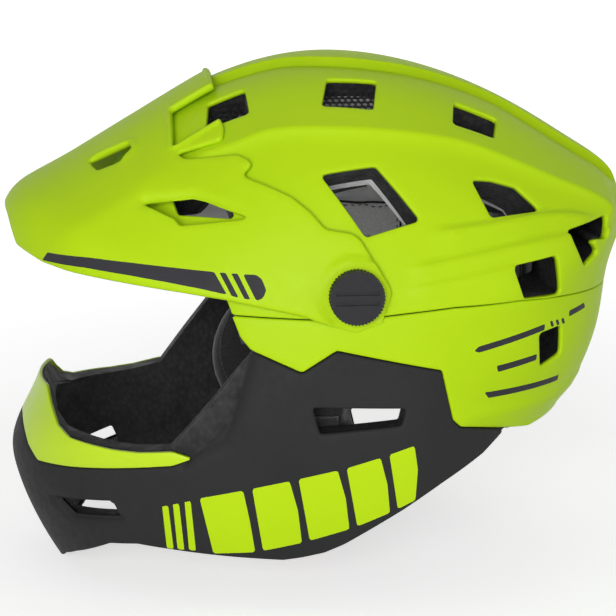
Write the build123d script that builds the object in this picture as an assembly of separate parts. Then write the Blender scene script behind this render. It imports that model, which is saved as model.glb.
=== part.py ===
from build123d import *
import math
import os

# Full face downhill helmet, in millimetres.
# The wearer faces -X, their left side is -Y and up is +Z.
# Every side view outline is measured from the ear axis, which crosses the helmet along Y,
# and is written in shares of chin_reach: negative is forward and negative is down.

# Overall form
chin_reach = 200.0
half_width = 117.0
visor_half_width = 121.4
width_power = 2.3
axis_height = 135.4
axis_setback = 16.0
outer_reach = 180.0

# Walls
upper_wall = 2.4
lower_wall = 2.4
chin_wall = 3.0
inlay_wall = 2.0
visor_wall = 2.6
liner_inset = 3.4
jaw_liner_inset = 14.0
strap_space = 4.0
seat_gap = 0.3
liner_halves_gap = 0.1
part_gap = 0.8
overrun = 1.0

# Outline of the shell in side view, clockwise from the forehead
profile_shares = (
    (-0.67, 0.33), (-0.565, 0.4925), (-0.34, 0.635), (-0.11, 0.6925), (0.1, 0.68), (0.3, 0.6225),
    (0.49, 0.53), (0.62, 0.45), (0.715, 0.38), (0.7525, 0.315), (0.7225, 0.165), (0.6975, 0.0),
    (0.6525, -0.14), (0.58, -0.29), (0.49, -0.55), (0.275, -0.8), (-0.05, -0.95), (-0.4, -0.95),
    (-0.66, -0.825), (-0.785, -0.68), (-0.855, -0.555), (-0.905, -0.42), (-0.915, -0.35),
    (-0.865, -0.22), (-0.815, -0.1), (-0.765, 0.075), (-0.725, 0.22),
)
# Outline of the visor's own bulge, clockwise from the crown
visor_profile_shares = (
    (0.1, 0.71), (-0.11, 0.7225), (-0.25, 0.7), (-0.365, 0.6575), (-0.43, 0.6225), (-0.54, 0.5575),
    (-0.645, 0.495), (-0.755, 0.43), (-0.835, 0.3875), (-0.89, 0.35), (-0.92, 0.3), (-0.9275, 0.24),
    (-0.92, 0.15), (-0.89, 0.0), (-0.85, -0.2), (-0.75, -0.5), (-0.4, -0.75), (0.0, -0.8),
    (0.4, -0.65), (0.65, -0.3), (0.77, 0.0), (0.78, 0.25), (0.66, 0.5), (0.4, 0.63),
)
# Distance of each section from the centre plane, as a share of the half width
level_shares = (0.25, 0.45, 0.62, 0.75, 0.85, 0.92, 0.965, 0.99, 0.997)

# Lines across the side of the helmet, from front to rear
brow_line_shares = (
    (-0.7, 0.33), (-0.62, 0.32), (-0.52, 0.29), (-0.43, 0.23), (-0.36, 0.15), (-0.345, 0.11),
)
seam_line_shares = (
    (-0.345, 0.105), (-0.13, 0.0975), (-0.015, 0.1), (0.065, 0.1075), (0.205, 0.12), (0.38, 0.1225),
    (0.555, 0.11), (0.85, 0.085),
)
jaw_line_shares = (
    (-0.3, 0.02), (-0.175, -0.035), (-0.09, 0.02), (0.065, -0.015), (0.175, -0.04), (0.21, -0.175),
    (0.23, -0.195), (0.36, -0.225),
)
cheek_edge_shares = (
    (-0.34, 0.09), (-0.325, 0.05),
)
inlay_low_shares = (
    (-0.305, 0.02), (-0.35, -0.17), (-0.445, -0.265), (-0.495, -0.29), (-0.625, -0.31),
    (-0.755, -0.33), (-0.84, -0.34), (-0.865, -0.31), (-0.885, -0.265), (-0.975, -0.255),
)
inlay_top_shares = (
    (-0.445, -0.265), (-0.495, -0.25), (-0.58, -0.26), (-0.645, -0.26), (-0.7, -0.255),
    (-0.755, -0.25), (-0.785, -0.23), (-0.805, -0.19), (-0.815, -0.1575), (-0.925, -0.15),
)
rim_line_shares = (
    (-0.7875, -0.685), (-0.785, -0.635), (-0.745, -0.5975), (-0.655, -0.5375), (-0.585, -0.525),
    (-0.495, -0.53), (-0.325, -0.5425), (-0.215, -0.55), (-0.165, -0.5425), (-0.11, -0.53),
    (-0.06, -0.5075), (0.09, -0.415), (0.19, -0.3475), (0.3, -0.28), (0.36, -0.23),
)
neck_line_shares = (
    (0.36, -0.23), (0.45, -0.2475), (0.53, -0.2425), (0.65, -0.2325), (0.85, -0.2275),
)
liner_brow_shares = (
    (-0.7, 0.31), (-0.62, 0.3), (-0.51, 0.27), (-0.42, 0.21), (-0.34, 0.13), (-0.32, 0.03),
)
liner_foot_shares = (
    (-0.32, 0.03), (0.21, 0.02), (0.27, -0.19), (0.85, -0.19),
)
jaw_liner_top_shares = (
    (-0.285, 0.01), (0.19, 0.0), (0.25, -0.195), (0.36, -0.21),
)

# Vents: tilt of the hole above level, start of the hole, and its outline
vent_table = (
    (15.0, 0.30, ((-0.49, 0.285), (-0.36, 0.3), (-0.33, 0.2), (-0.47, 0.22))),
    (45.0, 0.30, ((-0.38, 0.2865), (-0.285, 0.311), (-0.28, 0.198), (-0.39, 0.177))),
    (45.0, 0.30, ((-0.075, 0.304), (0.055, 0.3005), (0.03, 0.173), (-0.1, 0.1875))),
    (30.0, 0.30, ((-0.12, 0.1485), (0.02, 0.1685), (0.125, 0.026), (-0.015, -0.017))),
    (45.0, 0.25, ((0.255, 0.251), (0.37, 0.2225), (0.345, 0.131), (0.235, 0.152))),
    (30.0, 0.25, ((0.265, 0.1445), (0.32, 0.1475), (0.385, 0.1375), (0.45, 0.0785), (0.31, 0.044))),
    (0.0, 0.20, ((0.355, 0.21), (0.48, 0.225), (0.5, 0.12), (0.39, 0.125))),
    (0.0, 0.20, ((0.44, 0.025), (0.51, 0.035), (0.515, -0.045), (0.45, -0.07))),
    (0.0, 0.0, ((0.51, 0.28), (0.65, 0.3), (0.64, 0.24), (0.585, 0.25), (0.615, 0.21), (0.57, 0.18))),
)
cheek_vent_shares = (
    (-0.15, -0.125), (0.085, -0.135), (0.075, -0.18), (-0.13, -0.195),
)
chin_vent_shares = (
    (-0.8, -0.44), (-0.705, -0.42), (-0.645, -0.41), (-0.625, -0.455), (-0.755, -0.48),
)
vent_corner = 2.5
liner_vent_corner = 1.5

# Visor
visor_outline_shares = (
    (-0.95, 0.35), (-0.905, 0.295), (-0.88, 0.23), (-0.81, 0.2025), (-0.745, 0.1925),
    (-0.615, 0.18), (-0.47, 0.165), (-0.36, 0.15), (-0.18, 0.1125), (-0.135, 0.095),
    (-0.045, 0.0675), (0.02, 0.09), (0.045, 0.16), (0.04, 0.18), (0.015, 0.22), (-0.03, 0.295),
    (-0.05, 0.31), (-0.115, 0.32), (-0.15, 0.36), (-0.195, 0.395), (-0.255, 0.42), (-0.315, 0.44),
    (-0.28, 0.47), (-0.32, 0.4875), (-0.445, 0.47), (-0.47, 0.48), (-0.355, 0.5175), (-0.35, 0.545),
    (-0.365, 0.645), (-0.365, 0.8), (-0.95, 0.8),
)
visor_slot_shares = (
    (-0.69, 0.44), (-0.585, 0.49), (-0.575, 0.48), (-0.605, 0.45), (-0.665, 0.425),
)
visor_window_shares = (
    (-0.56, 0.365), (-0.435, 0.385), (-0.405, 0.38), (-0.305, 0.345), (-0.315, 0.34),
    (-0.465, 0.32), (-0.48, 0.335),
)
visor_corner = 3.0
visor_notch_rear_share = -0.25
visor_notch_front_share = -0.475
visor_notch_inner = 32.0
visor_notch_outer = 61.0
visor_notch_corner = 5.0
visor_notch_top = 170.0

# Visor fixing, along the knob axis from the shell outwards
knob_shares = (-0.045, 0.16)
shell_seat = 113.4
seat_floor = 110.6
seat_radius = 18.6
visor_seat_inner = 114.0
visor_seat_outer = 118.4
visor_seat_radius = 17.6
washer_thickness = 0.8
washer_radius = 12.6
knob_radius = 13.5
knob_thickness = 6.6
knob_groove_width = 2.0
knob_groove_depth = 1.0
knob_groove_length = 21.0
knob_groove_pitch = 5.0
knurl_count = 48
knurl_radius = 0.5
screw_radius = 2.9
screw_clearance = 0.3
insert_radius = 5.5
insert_flange_radius = 9.0
insert_flange = 1.6
insert_length = 9.0
insert_pocket_gap = 0.3

# Head cavity
cavity_centre_share = -0.01
cavity_rise_share = 0.175
cavity_half_length = 106.0
cavity_half_width = 86.0
cavity_height = 75.0
cavity_drop = 170.0

# Comfort pads
pad_thickness = 8.0
pad_edge = 2.6
pad_corner = 8.0
pad_taper = 12.0
brow_pad_rise = 30.0
brow_pad_height = 24.0
brow_pad_width = 104.0
brow_pad_reach = 62.0
crown_pad_setback = 6.0
crown_pad_length = 110.0
crown_pad_width = 22.0
crown_pad_spacing = 34.0
crown_pad_reach = 50.0
side_pad_setback = 18.0
side_pad_length = 62.0
side_pad_height = 30.0
side_pad_reach = 40.0
nape_pad_drop = 12.0
nape_pad_height = 34.0
nape_pad_width = 84.0

# Vent mesh
mesh_thickness = 1.0
mesh_depth_shares = (0.0, 0.485, 0.555)
mesh_margin = 2.0
mesh_hole_radius = 1.25
mesh_pitch = 3.3
mesh_slot_gap = 0.3

# Chin strap and buckle
strap_setback = -25.0
strap_width = 20.0
strap_thickness = 1.8
strap_path_shares = (
    (0.496, -0.170), (0.485, -0.275), (0.466, -0.370), (0.450, -0.430),
    (0.410, -0.482), (0.330, -0.512), (0.250, -0.5235), (0.200, -0.525),
)
strap_run_share = -0.525
strap_ease = 0.3
strap_pad_start = 24.0
strap_pad_end = 74.0
strap_pad_thickness = 2.6
strap_pad_width = 26.0
rivet_shares = (-0.125, -0.215)
rivet_radius = 2.4
rivet_head_radius = 5.0
rivet_head = 0.9
rivet_length = 9.0
rivet_face = 96.7
rivet_ease = 0.25
buckle_start = 13.0
buckle_end = 44.0
buckle_width = 26.0
buckle_above = 4.0
buckle_below = 6.0
buckle_corner = 2.0
blade_width = 14.0
blade_thickness = 1.8
blade_end = 30.0
blade_ease = 0.4
tongue_start = -4.0
tongue_end = -16.0
tongue_height = 5.6
tongue_pocket = 6.0
tooth_pitch = 2.2
tooth_depth = 0.5
tooth_count = 9
lever_width = 16.0
lever_thickness = 2.8
lever_end = 47.0
lever_pivot = 18.5
lever_drop = 4.4
lever_barrel = 2.2
lever_notch = 2.9
pin_radius = 1.1
pin_ease = 0.15
pin_length = 24.0

# Cheek pads
cheek_pad_shares = (
    (-0.27, -0.06), (-0.14, -0.045), (-0.05, -0.07), (-0.035, -0.17), (-0.01, -0.29),
    (-0.08, -0.395), (-0.26, -0.4), (-0.34, -0.29), (-0.34, -0.16),
)
cheek_pad_centre_shares = (-0.175, -0.225)
# Distance from the centre plane and size of each section of a cheek pad
cheek_pad_sections = ((63.0, 0.55), (65.5, 0.80), (71.0, 0.95), (79.0, 1.0), (104.0, 1.0))
cheek_seam_width = 1.6
cheek_seam_reach = 65.5
snap_shares = ((-0.28, -0.16), (-0.10, -0.11), (-0.225, -0.33))
snap_radius = 5.5

# Trims
trim_outer = 0.7
trim_inner = 13.0
chin_trim_height = 4.5
neck_trim_height = 3.2


def lengths(shares):
    """Side view shares turned into millimetres."""
    return [(x * chin_reach, z * chin_reach) for x, z in shares]


def drawn_in(points, inset):
    """Points moved straight towards the ear axis."""
    moved = []
    for x, z in points:
        left = 1 - inset / math.hypot(x, z)
        moved.append((x * left, z * left))
    return moved


def swollen_body(profile, half, inset):
    """Body of one side profile, widest at the ear axis and closing to nothing at the profile."""
    outline = drawn_in(lengths(profile), inset)
    width = half - inset
    levels = [-share for share in reversed(level_shares)] + [0.0] + list(level_shares)
    rings = []
    for level in levels:
        size = (1 - level**2) ** (1 / width_power)
        ring = [Vector(x * size, level * width, z * size) for x, z in outline]
        rings.append(Wire([Edge.make_spline(ring, periodic=True)]))
    return Solid.make_loft(rings)


def shell_body(inset):
    """The helmet's outer form moved inwards."""
    return swollen_body(profile_shares, half_width, inset)


def shell_wall(outer, inner):
    """Layer between two depths under the helmet's outer form."""
    return shell_body(outer) - shell_body(inner)


def slab(points, inner, outer, corner=0.0):
    """Side view outline run outwards on the left side, from one distance to another."""
    sketch = make_face(Polyline(*points, close=True))
    if corner:
        sketch = fillet(sketch.vertices(), corner)
    block = extrude(sketch, outer - inner)
    return Rot(90, 0, 0) * Pos(0, 0, inner) * block


def across(points):
    """Side view outline run right across the helmet."""
    return slab(points, -outer_reach, outer_reach)


def shifted(points, drop):
    """Line of points moved down."""
    return [(x, z - drop) for x, z in points]


def both(solid):
    """A left part and its mirror image as one cutter."""
    return [solid, mirror(solid, Plane.XZ)]


def vent_cutters(corner):
    """Left and right cutters of all vents of the crown."""
    cutters = []
    for tilt, start_share, shares in vent_table:
        start = start_share * half_width
        block = slab(lengths(shares), start, outer_reach, corner)
        cutters += both(Rot(-tilt, 0, 0) * block)
    return cutters


def disc(shares, inner, outer, radius):
    """Round part on the left side, its axis across the helmet."""
    x, z = lengths([shares])[0]
    block = Cylinder(radius, outer - inner, align=(Align.CENTER, Align.CENTER, Align.MIN))
    return Pos(x, -inner, z) * Rot(90, 0, 0) * block


def head_cavity(length_inset, width_inset, height_inset):
    """Space for the head and neck: a half egg with straight sides below it."""
    half_length = cavity_half_length - length_inset
    half = cavity_half_width - width_inset
    height = cavity_height - height_inset
    crown = EllipticalCenterArc((0, 0), half, height)
    top = (0, height)
    foot = (0, -cavity_drop)
    low = (half, -cavity_drop)
    side = (half, 0)
    face = make_face([crown, Line(top, foot), Line(foot, low), Line(low, side)])
    egg = revolve(Rot(90, 0, 0) * face, Axis.Z)
    egg = scale(egg, by=(half_length / half, 1, 1))
    return Pos(cavity_centre_share * chin_reach, 0, cavity_rise_share * chin_reach) * egg


def upper_region():
    """Side of the helmet above the seam and behind the brow."""
    line = lengths(brow_line_shares) + lengths(seam_line_shares)
    top = [(outer_reach, outer_reach), (-outer_reach, outer_reach)]
    return across(line + top)


def build_upper_shell(vents):
    """Vented top shell with a flat seat for each visor screw."""
    shell = shell_wall(0, upper_wall) & upper_region()
    shell = shell - vents
    shell = shell - both(disc(knob_shares, shell_seat, outer_reach, seat_radius))
    shell = shell + both(disc(knob_shares, seat_floor, shell_seat, seat_radius))
    hole = disc(knob_shares, seat_floor - overrun, shell_seat + overrun, screw_radius + screw_clearance)
    return shell - both(hole)


def build_lower_shell(vents):
    """Lower side and rear band of the shell."""
    seam = shifted(lengths(seam_line_shares), part_gap)
    jaw = lengths(jaw_line_shares)
    rim = lengths(neck_line_shares)
    region = across(list(reversed(seam)) + lengths(cheek_edge_shares) + jaw + rim[1:])
    shell = shell_wall(0, lower_wall) & region
    shell = shell - both(disc(knob_shares, seat_floor - overrun, outer_reach, seat_radius + part_gap))
    return shell - vents


def build_chin_bar():
    """Cheeks and chin bar in one moulded shell."""
    jaw = shifted(lengths(jaw_line_shares), part_gap)
    front = list(reversed(lengths(inlay_low_shares)))
    rim = list(reversed(lengths(rim_line_shares)))
    region = across(front[:-1] + jaw + rim[1:] + [(-outer_reach, rim[-1][1])])
    shell = shell_wall(0, chin_wall) & region
    return shell - side_openings(vent_corner)


def side_openings(corner):
    """Cutters of the cheek vents and chin vents."""
    cheek = slab(lengths(cheek_vent_shares), half_width / 2, outer_reach, corner)
    chin = slab(lengths(chin_vent_shares), half_width / 4, outer_reach, corner)
    return both(cheek) + both(chin)


def build_inlay():
    """Coloured band let in along the top of the chin bar."""
    low = lengths(inlay_low_shares)[2:]
    low = shifted(low, -part_gap)
    top = list(reversed(lengths(inlay_top_shares)))
    return shell_wall(0, inlay_wall) & across(low + top[:-1])


def build_crown_liner(vents):
    """Left half of the thick impact liner under the top shell."""
    line = lengths(liner_brow_shares) + lengths(liner_foot_shares)[1:]
    top = [(outer_reach, outer_reach), (-outer_reach, outer_reach)]
    liner = shell_body(liner_inset) & across(line + top)
    liner = liner - head_cavity(0, 0, 0)
    liner = liner - vents
    seat = disc(knob_shares, seat_floor - insert_pocket_gap, outer_reach, seat_radius + part_gap)
    flange_top = seat_floor - insert_pocket_gap - insert_flange
    flange = disc(knob_shares, flange_top - seat_gap, outer_reach, insert_flange_radius + insert_pocket_gap)
    barrel_top = seat_floor - insert_length - insert_pocket_gap
    barrel = disc(knob_shares, barrel_top - seat_gap, outer_reach, insert_radius + insert_pocket_gap)
    liner = liner - (both(seat) + both(flange) + both(barrel))
    slots = []
    for index in (1, 2):
        slots += both(mesh_plate(index, mesh_margin + mesh_slot_gap, mesh_thickness + 2 * mesh_slot_gap))
    reach = 2 * outer_reach
    left_side = Pos(0, -(reach + liner_halves_gap) / 2, 0) * Box(reach, reach, reach)
    return (liner - slots) & left_side


def build_jaw_liner():
    """Moulded liner inside the cheeks and chin bar."""
    top = lengths(jaw_liner_top_shares)
    trim = shifted(lengths(inlay_top_shares), -seat_gap)
    rim = shifted(list(reversed(lengths(rim_line_shares))), -neck_trim_height - seat_gap)
    front = list(reversed(trim))
    liner = shell_wall(liner_inset, jaw_liner_inset)
    liner = liner & across(front[:-1] + top + rim[:-1] + [(-outer_reach, rim[-2][1])])
    holes = both(disc(rivet_shares, rivet_face, outer_reach, rivet_radius + rivet_ease))
    return liner - (side_openings(liner_vent_corner) + holes)


def build_chin_trim():
    """Soft lip along the top of the chin bar."""
    low = shifted(lengths(inlay_top_shares), -2 * seat_gap)
    top = shifted(list(reversed(lengths(inlay_top_shares))), -chin_trim_height)
    return shell_wall(trim_outer, trim_inner) & across(low[1:] + top[:-1])


def build_neck_trim():
    """Soft edge round the neck opening."""
    line = lengths(rim_line_shares)[1:] + lengths(neck_line_shares)[1:]
    low = [(-outer_reach, line[0][1])] + line
    top = list(reversed(shifted(low, -neck_trim_height)))
    return shell_wall(liner_inset, jaw_liner_inset) & across(low + top)


def build_visor():
    """Peak with two arms that reach back to the screws."""
    wall = swollen_body(visor_profile_shares, visor_half_width, 0)
    wall = wall - swollen_body(visor_profile_shares, visor_half_width, visor_wall)
    visor = wall & across(lengths(visor_outline_shares))
    rear = visor_notch_rear_share * chin_reach
    front = visor_notch_front_share * chin_reach
    notch = Box(
        rear - front,
        visor_notch_outer - visor_notch_inner,
        visor_notch_top,
        align=(Align.MIN, Align.MIN, Align.MIN),
    )
    notch = fillet(notch.edges().filter_by(Axis.Z), visor_notch_corner)
    notch = Pos(front, visor_notch_inner, 0) * notch
    slot = slab(lengths(visor_slot_shares), half_width / 8, outer_reach, liner_vent_corner)
    window = slab(lengths(visor_window_shares), half_width / 2, outer_reach)
    visor = visor - (both(notch) + both(slot) + both(window))
    visor = visor - both(disc(knob_shares, seat_floor, outer_reach, visor_seat_radius))
    visor = visor - both(disc(knob_shares, seat_floor, visor_seat_inner, seat_radius + part_gap))
    visor = visor + both(disc(knob_shares, visor_seat_inner, visor_seat_outer, visor_seat_radius))
    hole = disc(knob_shares, visor_seat_inner - overrun, outer_reach, screw_radius + screw_clearance)
    return visor - both(hole)


def build_washer():
    """Soft washer under a visor screw."""
    inner = visor_seat_outer + seat_gap / 3
    ring = disc(knob_shares, inner, inner + washer_thickness, washer_radius)
    return ring - disc(knob_shares, inner - overrun, outer_reach, screw_radius + screw_clearance)


def build_visor_screw():
    """Thumb screw with a knurled head and two grooves."""
    inner = visor_seat_outer + washer_thickness + seat_gap
    outer = inner + knob_thickness
    head = disc(knob_shares, inner, outer, knob_radius)
    shank = disc(knob_shares, seat_floor - insert_length + overrun, inner + overrun, screw_radius)
    x, z = lengths([knob_shares])[0]
    cutters = []
    for side in (-1, 1):
        groove = Box(knob_groove_length, 2 * knob_groove_depth, knob_groove_width)
        cutters.append(Pos(x, -outer, z + side * knob_groove_pitch / 2) * groove)
    for step in range(knurl_count):
        turn = 2 * math.pi * step / knurl_count
        notch = Cylinder(knurl_radius, 2 * knob_thickness)
        place = Pos(x + knob_radius * math.cos(turn), -outer, z + knob_radius * math.sin(turn))
        cutters.append(place * Rot(90, 0, 0) * notch)
    return head - cutters + shank


def build_insert():
    """Threaded insert that the visor screw turns into."""
    outer = seat_floor - insert_pocket_gap / 3
    flange = disc(knob_shares, outer - insert_flange, outer, insert_flange_radius)
    barrel = disc(knob_shares, outer - insert_length, outer, insert_radius)
    bore_radius = screw_radius + screw_clearance / 2
    bore = disc(knob_shares, outer - insert_length - overrun, outer_reach, bore_radius)
    return flange + barrel - bore


def mesh_frame(index):
    """Middle and half sizes of a vent's outline in its tilted view."""
    points = lengths(vent_table[index][2])
    xs = [x for x, z in points]
    zs = [z for x, z in points]
    middle = ((max(xs) + min(xs)) / 2, (max(zs) + min(zs)) / 2)
    half = ((max(xs) - min(xs)) / 2, (max(zs) - min(zs)) / 2)
    return middle + half


def mesh_plate(index, margin, thickness):
    """Flat plate set in the left channel of one vent."""
    x, z, half_x, half_z = mesh_frame(index)
    plate = Box(2 * (half_x + margin), thickness, 2 * (half_z + margin))
    return Rot(-vent_table[index][0], 0, 0) * Pos(x, -mesh_depth_shares[index] * chin_reach, z) * plate


def build_mesh(index):
    """Insect mesh of one vent, a plate with rows of round holes."""
    x, z, half_x, half_z = mesh_frame(index)
    row_pitch = mesh_pitch * math.sqrt(3) / 2
    rows = int(half_z / row_pitch)
    columns = int(half_x / mesh_pitch)
    holes = []
    for row in range(-rows, rows + 1):
        lead = mesh_pitch / 2 if row % 2 else 0.0
        for column in range(-columns, columns + 1):
            across_hole = column * mesh_pitch + lead
            if abs(across_hole) < half_x:
                hole = Cylinder(mesh_hole_radius, 4 * mesh_thickness)
                place = Pos(x + across_hole, -mesh_depth_shares[index] * chin_reach, z + row * row_pitch)
                holes.append(place * Rot(90, 0, 0) * hole)
    block = Compound(children=holes)
    turned = Rot(-vent_table[index][0], 0, 0) * block
    return mesh_plate(index, mesh_margin, mesh_thickness) - turned


def head_pad(cutter, length_inset, width_inset, height_inset):
    """Pad that is thick in the middle, held between the cavity wall and a flatter inner face."""
    pad = head_cavity(seat_gap, seat_gap, seat_gap) & cutter
    return pad - head_cavity(length_inset, width_inset, height_inset)


def tapered_cutter(size_a, size_b, depth):
    """Block with rounded corners that narrows towards the wearer."""
    sketch = RectangleRounded(size_a, size_b, pad_corner)
    return extrude(sketch, depth, taper=pad_taper)


def build_brow_pad():
    """Curved pad behind the brow."""
    x = cavity_centre_share * chin_reach - cavity_half_length
    z = cavity_rise_share * chin_reach + brow_pad_rise
    cutter = tapered_cutter(brow_pad_height, brow_pad_width, brow_pad_reach)
    cutter = Pos(x - overrun, 0, z) * Rot(0, 90, 0) * cutter
    return head_pad(cutter, pad_thickness, pad_edge, pad_edge)


def build_crown_pad(offset, width):
    """Strip pad under the crown."""
    x = cavity_centre_share * chin_reach + crown_pad_setback
    z = cavity_rise_share * chin_reach + cavity_height + overrun
    cutter = Pos(x, -offset, z) * Rot(180, 0, 0) * tapered_cutter(crown_pad_length, width, crown_pad_reach)
    return head_pad(cutter, pad_edge, pad_edge, pad_thickness)


def build_side_pad():
    """Pad at the left temple."""
    x = cavity_centre_share * chin_reach + side_pad_setback
    z = cavity_rise_share * chin_reach
    cutter = Pos(x, -cavity_half_width - overrun, z) * Rot(-90, 0, 0)
    cutter = cutter * tapered_cutter(side_pad_length, side_pad_height, side_pad_reach)
    return head_pad(cutter, pad_edge, pad_thickness, pad_edge)


def build_nape_pad():
    """Pad behind the back of the head."""
    x = cavity_centre_share * chin_reach + cavity_half_length
    z = cavity_rise_share * chin_reach - nape_pad_drop
    cutter = tapered_cutter(nape_pad_height, nape_pad_width, brow_pad_reach)
    cutter = Pos(x + overrun, 0, z) * Rot(0, -90, 0) * cutter
    return head_pad(cutter, pad_thickness, pad_edge, pad_edge)


def build_cheek_pad():
    """Left cheek cushion, crowned towards the face and following the jaw liner behind."""
    middle_x, middle_z = lengths([cheek_pad_centre_shares])[0]
    outline = lengths(cheek_pad_shares)
    rings = []
    for distance, size in cheek_pad_sections:
        ring = []
        for x, z in outline:
            away_x = (x - middle_x) * size
            away_z = (z - middle_z) * size
            ring.append(Vector(middle_x + away_x, -distance, middle_z + away_z))
        rings.append(Wire([Edge.make_spline(ring, periodic=True)]))
    cushion = Solid.make_loft(rings)
    cushion = cushion & shell_body(jaw_liner_inset + strap_space + seat_gap)
    seam = Box(cheek_seam_width, 2 * cheek_seam_reach, outer_reach)
    seam = Pos(middle_x, 0, middle_z) * seam
    head_top = rivet_face - rivet_head - rivet_ease
    pocket = disc(rivet_shares, head_top, outer_reach, rivet_head_radius + rivet_ease)
    return cushion - seam - pocket


def build_snaps():
    """Press studs between one jaw liner side and its cheek pad."""
    layer = shell_wall(jaw_liner_inset + seat_gap / 2, jaw_liner_inset + strap_space)
    return [layer & disc(place, half_width / 2, outer_reach, snap_radius) for place in snap_shares]


def ribbon(points, thickness, width):
    """Flat band that follows a path of distances and heights, one width wide along X."""
    inner = []
    outer = []
    last = len(points) - 1
    for index, (y, z) in enumerate(points):
        before = points[max(index - 1, 0)]
        after = points[min(index + 1, last)]
        run = math.hypot(after[0] - before[0], after[1] - before[1])
        lean_y = (after[1] - before[1]) / run * thickness / 2
        lean_z = (before[0] - after[0]) / run * thickness / 2
        inner.append((y + lean_y, z + lean_z))
        outer.append((y - lean_y, z - lean_z))
    ends = [Line(inner[0], outer[0]), Line(inner[-1], outer[-1])]
    face = make_face([Spline(*inner), Spline(*outer)] + ends)
    band = extrude(face, width / 2, both=True)
    return Pos(strap_setback, 0, 0) * (Plane.YZ * band)


def strap_points(end):
    """Path of one half of the strap, from the rivet down to a distance from the centre."""
    return lengths(strap_path_shares) + [(end, strap_run_share * chin_reach)]


def build_strap(end):
    """One half of the chin strap with its rivet hole, on the +Y side."""
    strap = ribbon(strap_points(end), strap_thickness, strap_width)
    x, z = lengths([rivet_shares])[0]
    hole = Cylinder(rivet_radius + rivet_ease, outer_reach)
    return strap - Pos(x, half_width, z) * Rot(90, 0, 0) * hole


def build_rivet():
    """Rivet that holds the left end of the strap."""
    head = disc(rivet_shares, rivet_face - rivet_head, rivet_face, rivet_head_radius)
    return head + disc(rivet_shares, rivet_face - rivet_head, rivet_face + rivet_length, rivet_radius)


def build_strap_pad():
    """Soft sleeve round the strap below the jaw."""
    points = [(y, z) for y, z in strap_points(0) if strap_pad_start < y < strap_pad_end]
    sleeve = ribbon(points, strap_thickness + 2 * strap_pad_thickness, strap_pad_width)
    return sleeve - ribbon(strap_points(0), strap_thickness + 2 * strap_ease, strap_width + 2 * strap_ease)


def bar(start, end, low, high, width):
    """Block on the left side between two distances and two heights, centred on the strap."""
    size = Box(width, end - start, high - low, align=(Align.CENTER, Align.MIN, Align.MIN))
    return Pos(strap_setback, -end, strap_run_share * chin_reach + low) * size


def pivot(radius, length):
    """Round bar on the lever's axis."""
    place = Pos(strap_setback, -lever_pivot, strap_run_share * chin_reach - lever_drop)
    return place * Rot(0, 90, 0) * Cylinder(radius, length)


def build_buckle_body():
    """Housing of the buckle, with a slot for the blade and a recess for the lever."""
    body = bar(buckle_start, buckle_end, -buckle_below, buckle_above, buckle_width)
    body = fillet(body.edges().filter_by(Axis.Z), buckle_corner)
    half = blade_thickness / 2 + blade_ease
    slot = bar(buckle_start - overrun, blade_end + overrun, -half, half, blade_width + 2 * blade_ease)
    tail = bar(blade_end, buckle_end + overrun, -half, half, strap_width + 2 * strap_ease)
    roof = lever_barrel + blade_ease - lever_drop
    recess_width = lever_width + 2 * blade_ease
    recess = bar(buckle_start - overrun, buckle_end + overrun, -buckle_below - overrun, roof, recess_width)
    return body - slot - tail - recess - pivot(pin_radius + pin_ease, buckle_width + overrun)


def build_buckle_pin():
    """Steel pin of the lever."""
    return pivot(pin_radius, pin_length)


def build_buckle_lever():
    """Release lever under the buckle."""
    low = -buckle_below + seat_gap
    plate = bar(lever_pivot, lever_end, low, low + lever_thickness, lever_width)
    grip = bar(buckle_end + seat_gap, lever_end, low - lever_thickness / 2, low, lever_width)
    lever = plate + grip + pivot(lever_barrel, lever_width)
    return lever - pivot(pin_radius + pin_ease, buckle_width)


def build_buckle_tongue():
    """Toothed blade and the block that holds the other strap end."""
    half = blade_thickness / 2
    blade = bar(tongue_start, blade_end, -half, half, blade_width)
    teeth = []
    for index in range(tooth_count):
        start = blade_end - (index + 1) * tooth_pitch
        end = start + tooth_pitch / 2
        teeth.append(bar(start, end, -half - overrun, tooth_depth - half, blade_width + overrun))
    block = bar(tongue_end, tongue_start, -tongue_height / 2, tongue_height / 2, buckle_width)
    pocket_half = strap_thickness / 2 + strap_ease
    pocket_end = tongue_end + tongue_pocket
    pocket = bar(tongue_end - overrun, pocket_end, -pocket_half, pocket_half, strap_width + 2 * strap_ease)
    return blade - teeth + block - pocket


def save(name, shape):
    """Write one node, set down on the ground with its length centred."""
    placed = Pos(axis_setback, 0, axis_height) * shape
    placed.label = name
    export_step(placed, os.path.join("parts", name + ".step"))


def save_pair(name, left):
    """Write a left part and its mirror image."""
    save(name + "_left", left)
    save(name + "_right", mirror(left, Plane.XZ))


def group(solids):
    """Separate solids kept under one name."""
    return Compound(children=solids)


os.makedirs("parts", exist_ok=True)
vents = vent_cutters(vent_corner)
liner_vents = vent_cutters(liner_vent_corner)
save("upper_shell", build_upper_shell(vents))
save("lower_shell", build_lower_shell(vents))
save("chin_bar_shell", build_chin_bar())
save("chin_bar_inlay", build_inlay())
save_pair("crown_liner", build_crown_liner(liner_vents))
save("jaw_liner", build_jaw_liner())
save("chin_trim", build_chin_trim())
save("neck_trim", build_neck_trim())
save("visor", build_visor())
save_pair("visor_washer", build_washer())
save_pair("visor_screw", build_visor_screw())
save_pair("visor_insert", build_insert())
save_pair("front_vent_mesh", build_mesh(1))
save_pair("top_vent_mesh", build_mesh(2))
save("brow_pad", build_brow_pad())
save("crown_pad", build_crown_pad(0, crown_pad_width))
save_pair("crown_side_pad", build_crown_pad(crown_pad_spacing, crown_pad_width))
save_pair("temple_pad", build_side_pad())
save("nape_pad", build_nape_pad())
save_pair("cheek_pad", build_cheek_pad())
snaps = build_snaps()
save("cheek_pad_snaps", group(snaps + [mirror(snap, Plane.XZ) for snap in snaps]))
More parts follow.
